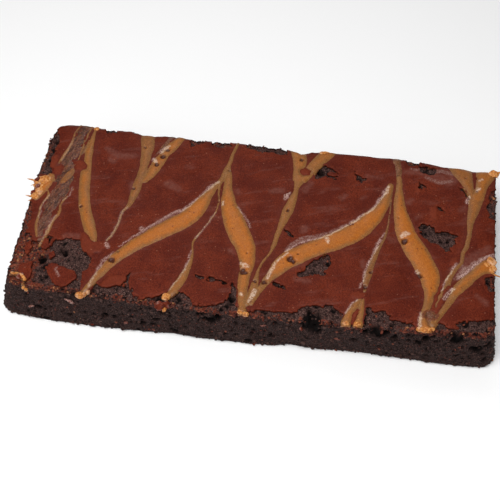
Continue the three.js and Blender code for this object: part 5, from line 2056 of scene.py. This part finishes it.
@dataclass
class Studio:
    """A pale floor, soft light and the camera."""

    target: tuple[float, float, float] = (-2.32, 1.896, 0.0)
    azimuth: float = 7.96
    elevation: float = 54.73
    distance: float = 327.4
    lens: float = 68.4
    sensor: float = 36.0
    sky: float = 0.24  # strength of the light from all round
    floor_side: float = 6.0  # in metres
    lamps: tuple[Lamp, ...] = (
        Lamp("key", (-40, -150, 445), 260, 1.94),
        Lamp("fill", (-300, -330, 250), 380, 0.46),
        Lamp("sheen", (-70, 330, 450), 260, 0.34),
    )

    def build(self) -> None:
        """Builds the whole studio."""
        self._camera()
        self._floor()
        for lamp in self.lamps:
            self._hang(lamp)
        world = bpy.data.worlds.new("studio")
        world.use_nodes = True
        world.node_tree.nodes["Background"].inputs["Color"].default_value = (1, 1, 1, 1)
        world.node_tree.nodes["Background"].inputs["Strength"].default_value = self.sky
        bpy.context.scene.world = world
        bpy.context.scene.view_settings.view_transform = "Standard"

    def _camera(self) -> None:
        """Sets the camera up where the slab is seen from."""
        data = bpy.data.cameras.new("camera")
        data.lens = self.lens
        data.sensor_width = self.sensor
        data.clip_start, data.clip_end = 0.01, 20.0
        camera = bpy.data.objects.new("camera", data)
        bpy.context.collection.objects.link(camera)
        turn, rise = math.radians(self.azimuth), math.radians(self.elevation)
        back = Vector((
            math.sin(turn) * math.cos(rise), -math.cos(turn) * math.cos(rise), math.sin(rise),
        ))
        camera.location = (Vector(self.target) + back * self.distance) * MM
        camera.rotation_euler = (-back).to_track_quat("-Z", "Y").to_euler()
        bpy.context.scene.camera = camera

    def _floor(self) -> None:
        """Lays the floor that the slab lies on."""
        bpy.ops.object.select_all(action="DESELECT")
        bpy.ops.mesh.primitive_plane_add(size=self.floor_side)
        floor = bpy.context.active_object
        floor.name = "floor"
        b = Bench("pale_floor")
        b.set(Base_Color=(0.95, 0.95, 0.95), Roughness=0.9, Specular_IOR_Level=0.1)
        floor.data.materials.append(b.material)

    @staticmethod
    def _hang(lamp: Lamp) -> None:
        """Hangs one light and turns it to the slab."""
        data = bpy.data.lights.new(lamp.name, "AREA")
        data.size = lamp.size * MM
        data.energy = lamp.power
        light = bpy.data.objects.new(lamp.name, data)
        bpy.context.collection.objects.link(light)
        light.location = Vector(lamp.place) * MM
        light.rotation_euler = (-Vector(lamp.place)).to_track_quat("-Z", "Y").to_euler()


def strew(plan: SlabPlan, skin: Skin) -> None:
    """Lays the loose bits: grains of crumb, pale crumbs of the crust's edge, and browned flakes.

    Args:
        plan: the slab's plan.
        skin: the body's surface.
    """
    grain = BitFinish("crumb_grains", srgb(44, 29, 26), srgb(74, 53, 48))
    tan = BitFinish("tan_crumbs", srgb(150, 100, 66), srgb(120, 74, 50), 0.6)
    brown = BitFinish("crust_bits", srgb(82, 36, 25), srgb(118, 62, 46), 0.65)
    grains = LooseBits(
        "crumb_grains", count=2400, smallest=0.45, largest=1.4, flat=0.8, sunk=0.55, seed=5)
    tan_bits = LooseBits(
        "tan_bits", count=230, smallest=0.35, largest=1.0, flat=0.6, sunk=0.3, seed=7)
    crust_bits = LooseBits(
        "crust_bits", count=1600, smallest=0.3, largest=1.2, flat=0.45, sunk=0.35, seed=6)
    for bits, strewing, finish, slot in (
        (grains, Strewing(bare=1.0, sides=1.0), grain, "crumb"),
        (tan_bits, Strewing(sides=0.02, rim=0.5, crumbled=2.4), tan, "caramel"),
        (crust_bits, Strewing(sides=0.05, foot=0.08, rim=1.0, tears=0.12, crumbled=2.2), brown, "crust"),
    ):
        bits.build(skin, strewing.weigh(plan, skin), finish.make(), slot)


def main() -> None:
    """Builds the pieces in order."""
    logging.basicConfig(level=logging.INFO, format="%(name)s: %(message)s")
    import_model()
    plan, swirl = SlabPlan(), Swirl()
    Studio().build()
    body = CrumbBody(plan, swirl)
    body.build(CrumbFinish().make())
    crust = Crust(plan, swirl)
    crust_finish, caramel_finish = CrustFinish().make(), CaramelFinish().make()
    crust.build(crust_finish)
    Caramel(plan, swirl, crust).build(caramel_finish)
    Lumps(LumpKind.CARAMEL, EDGE_CARAMEL).build(caramel_finish, "caramel")
    Lumps(LumpKind.CRUST, EDGE_CRUST, rough=0.6).build(crust_finish, "crust")
    strew(plan, body.skin)


if __name__ == "__main__":
    main()
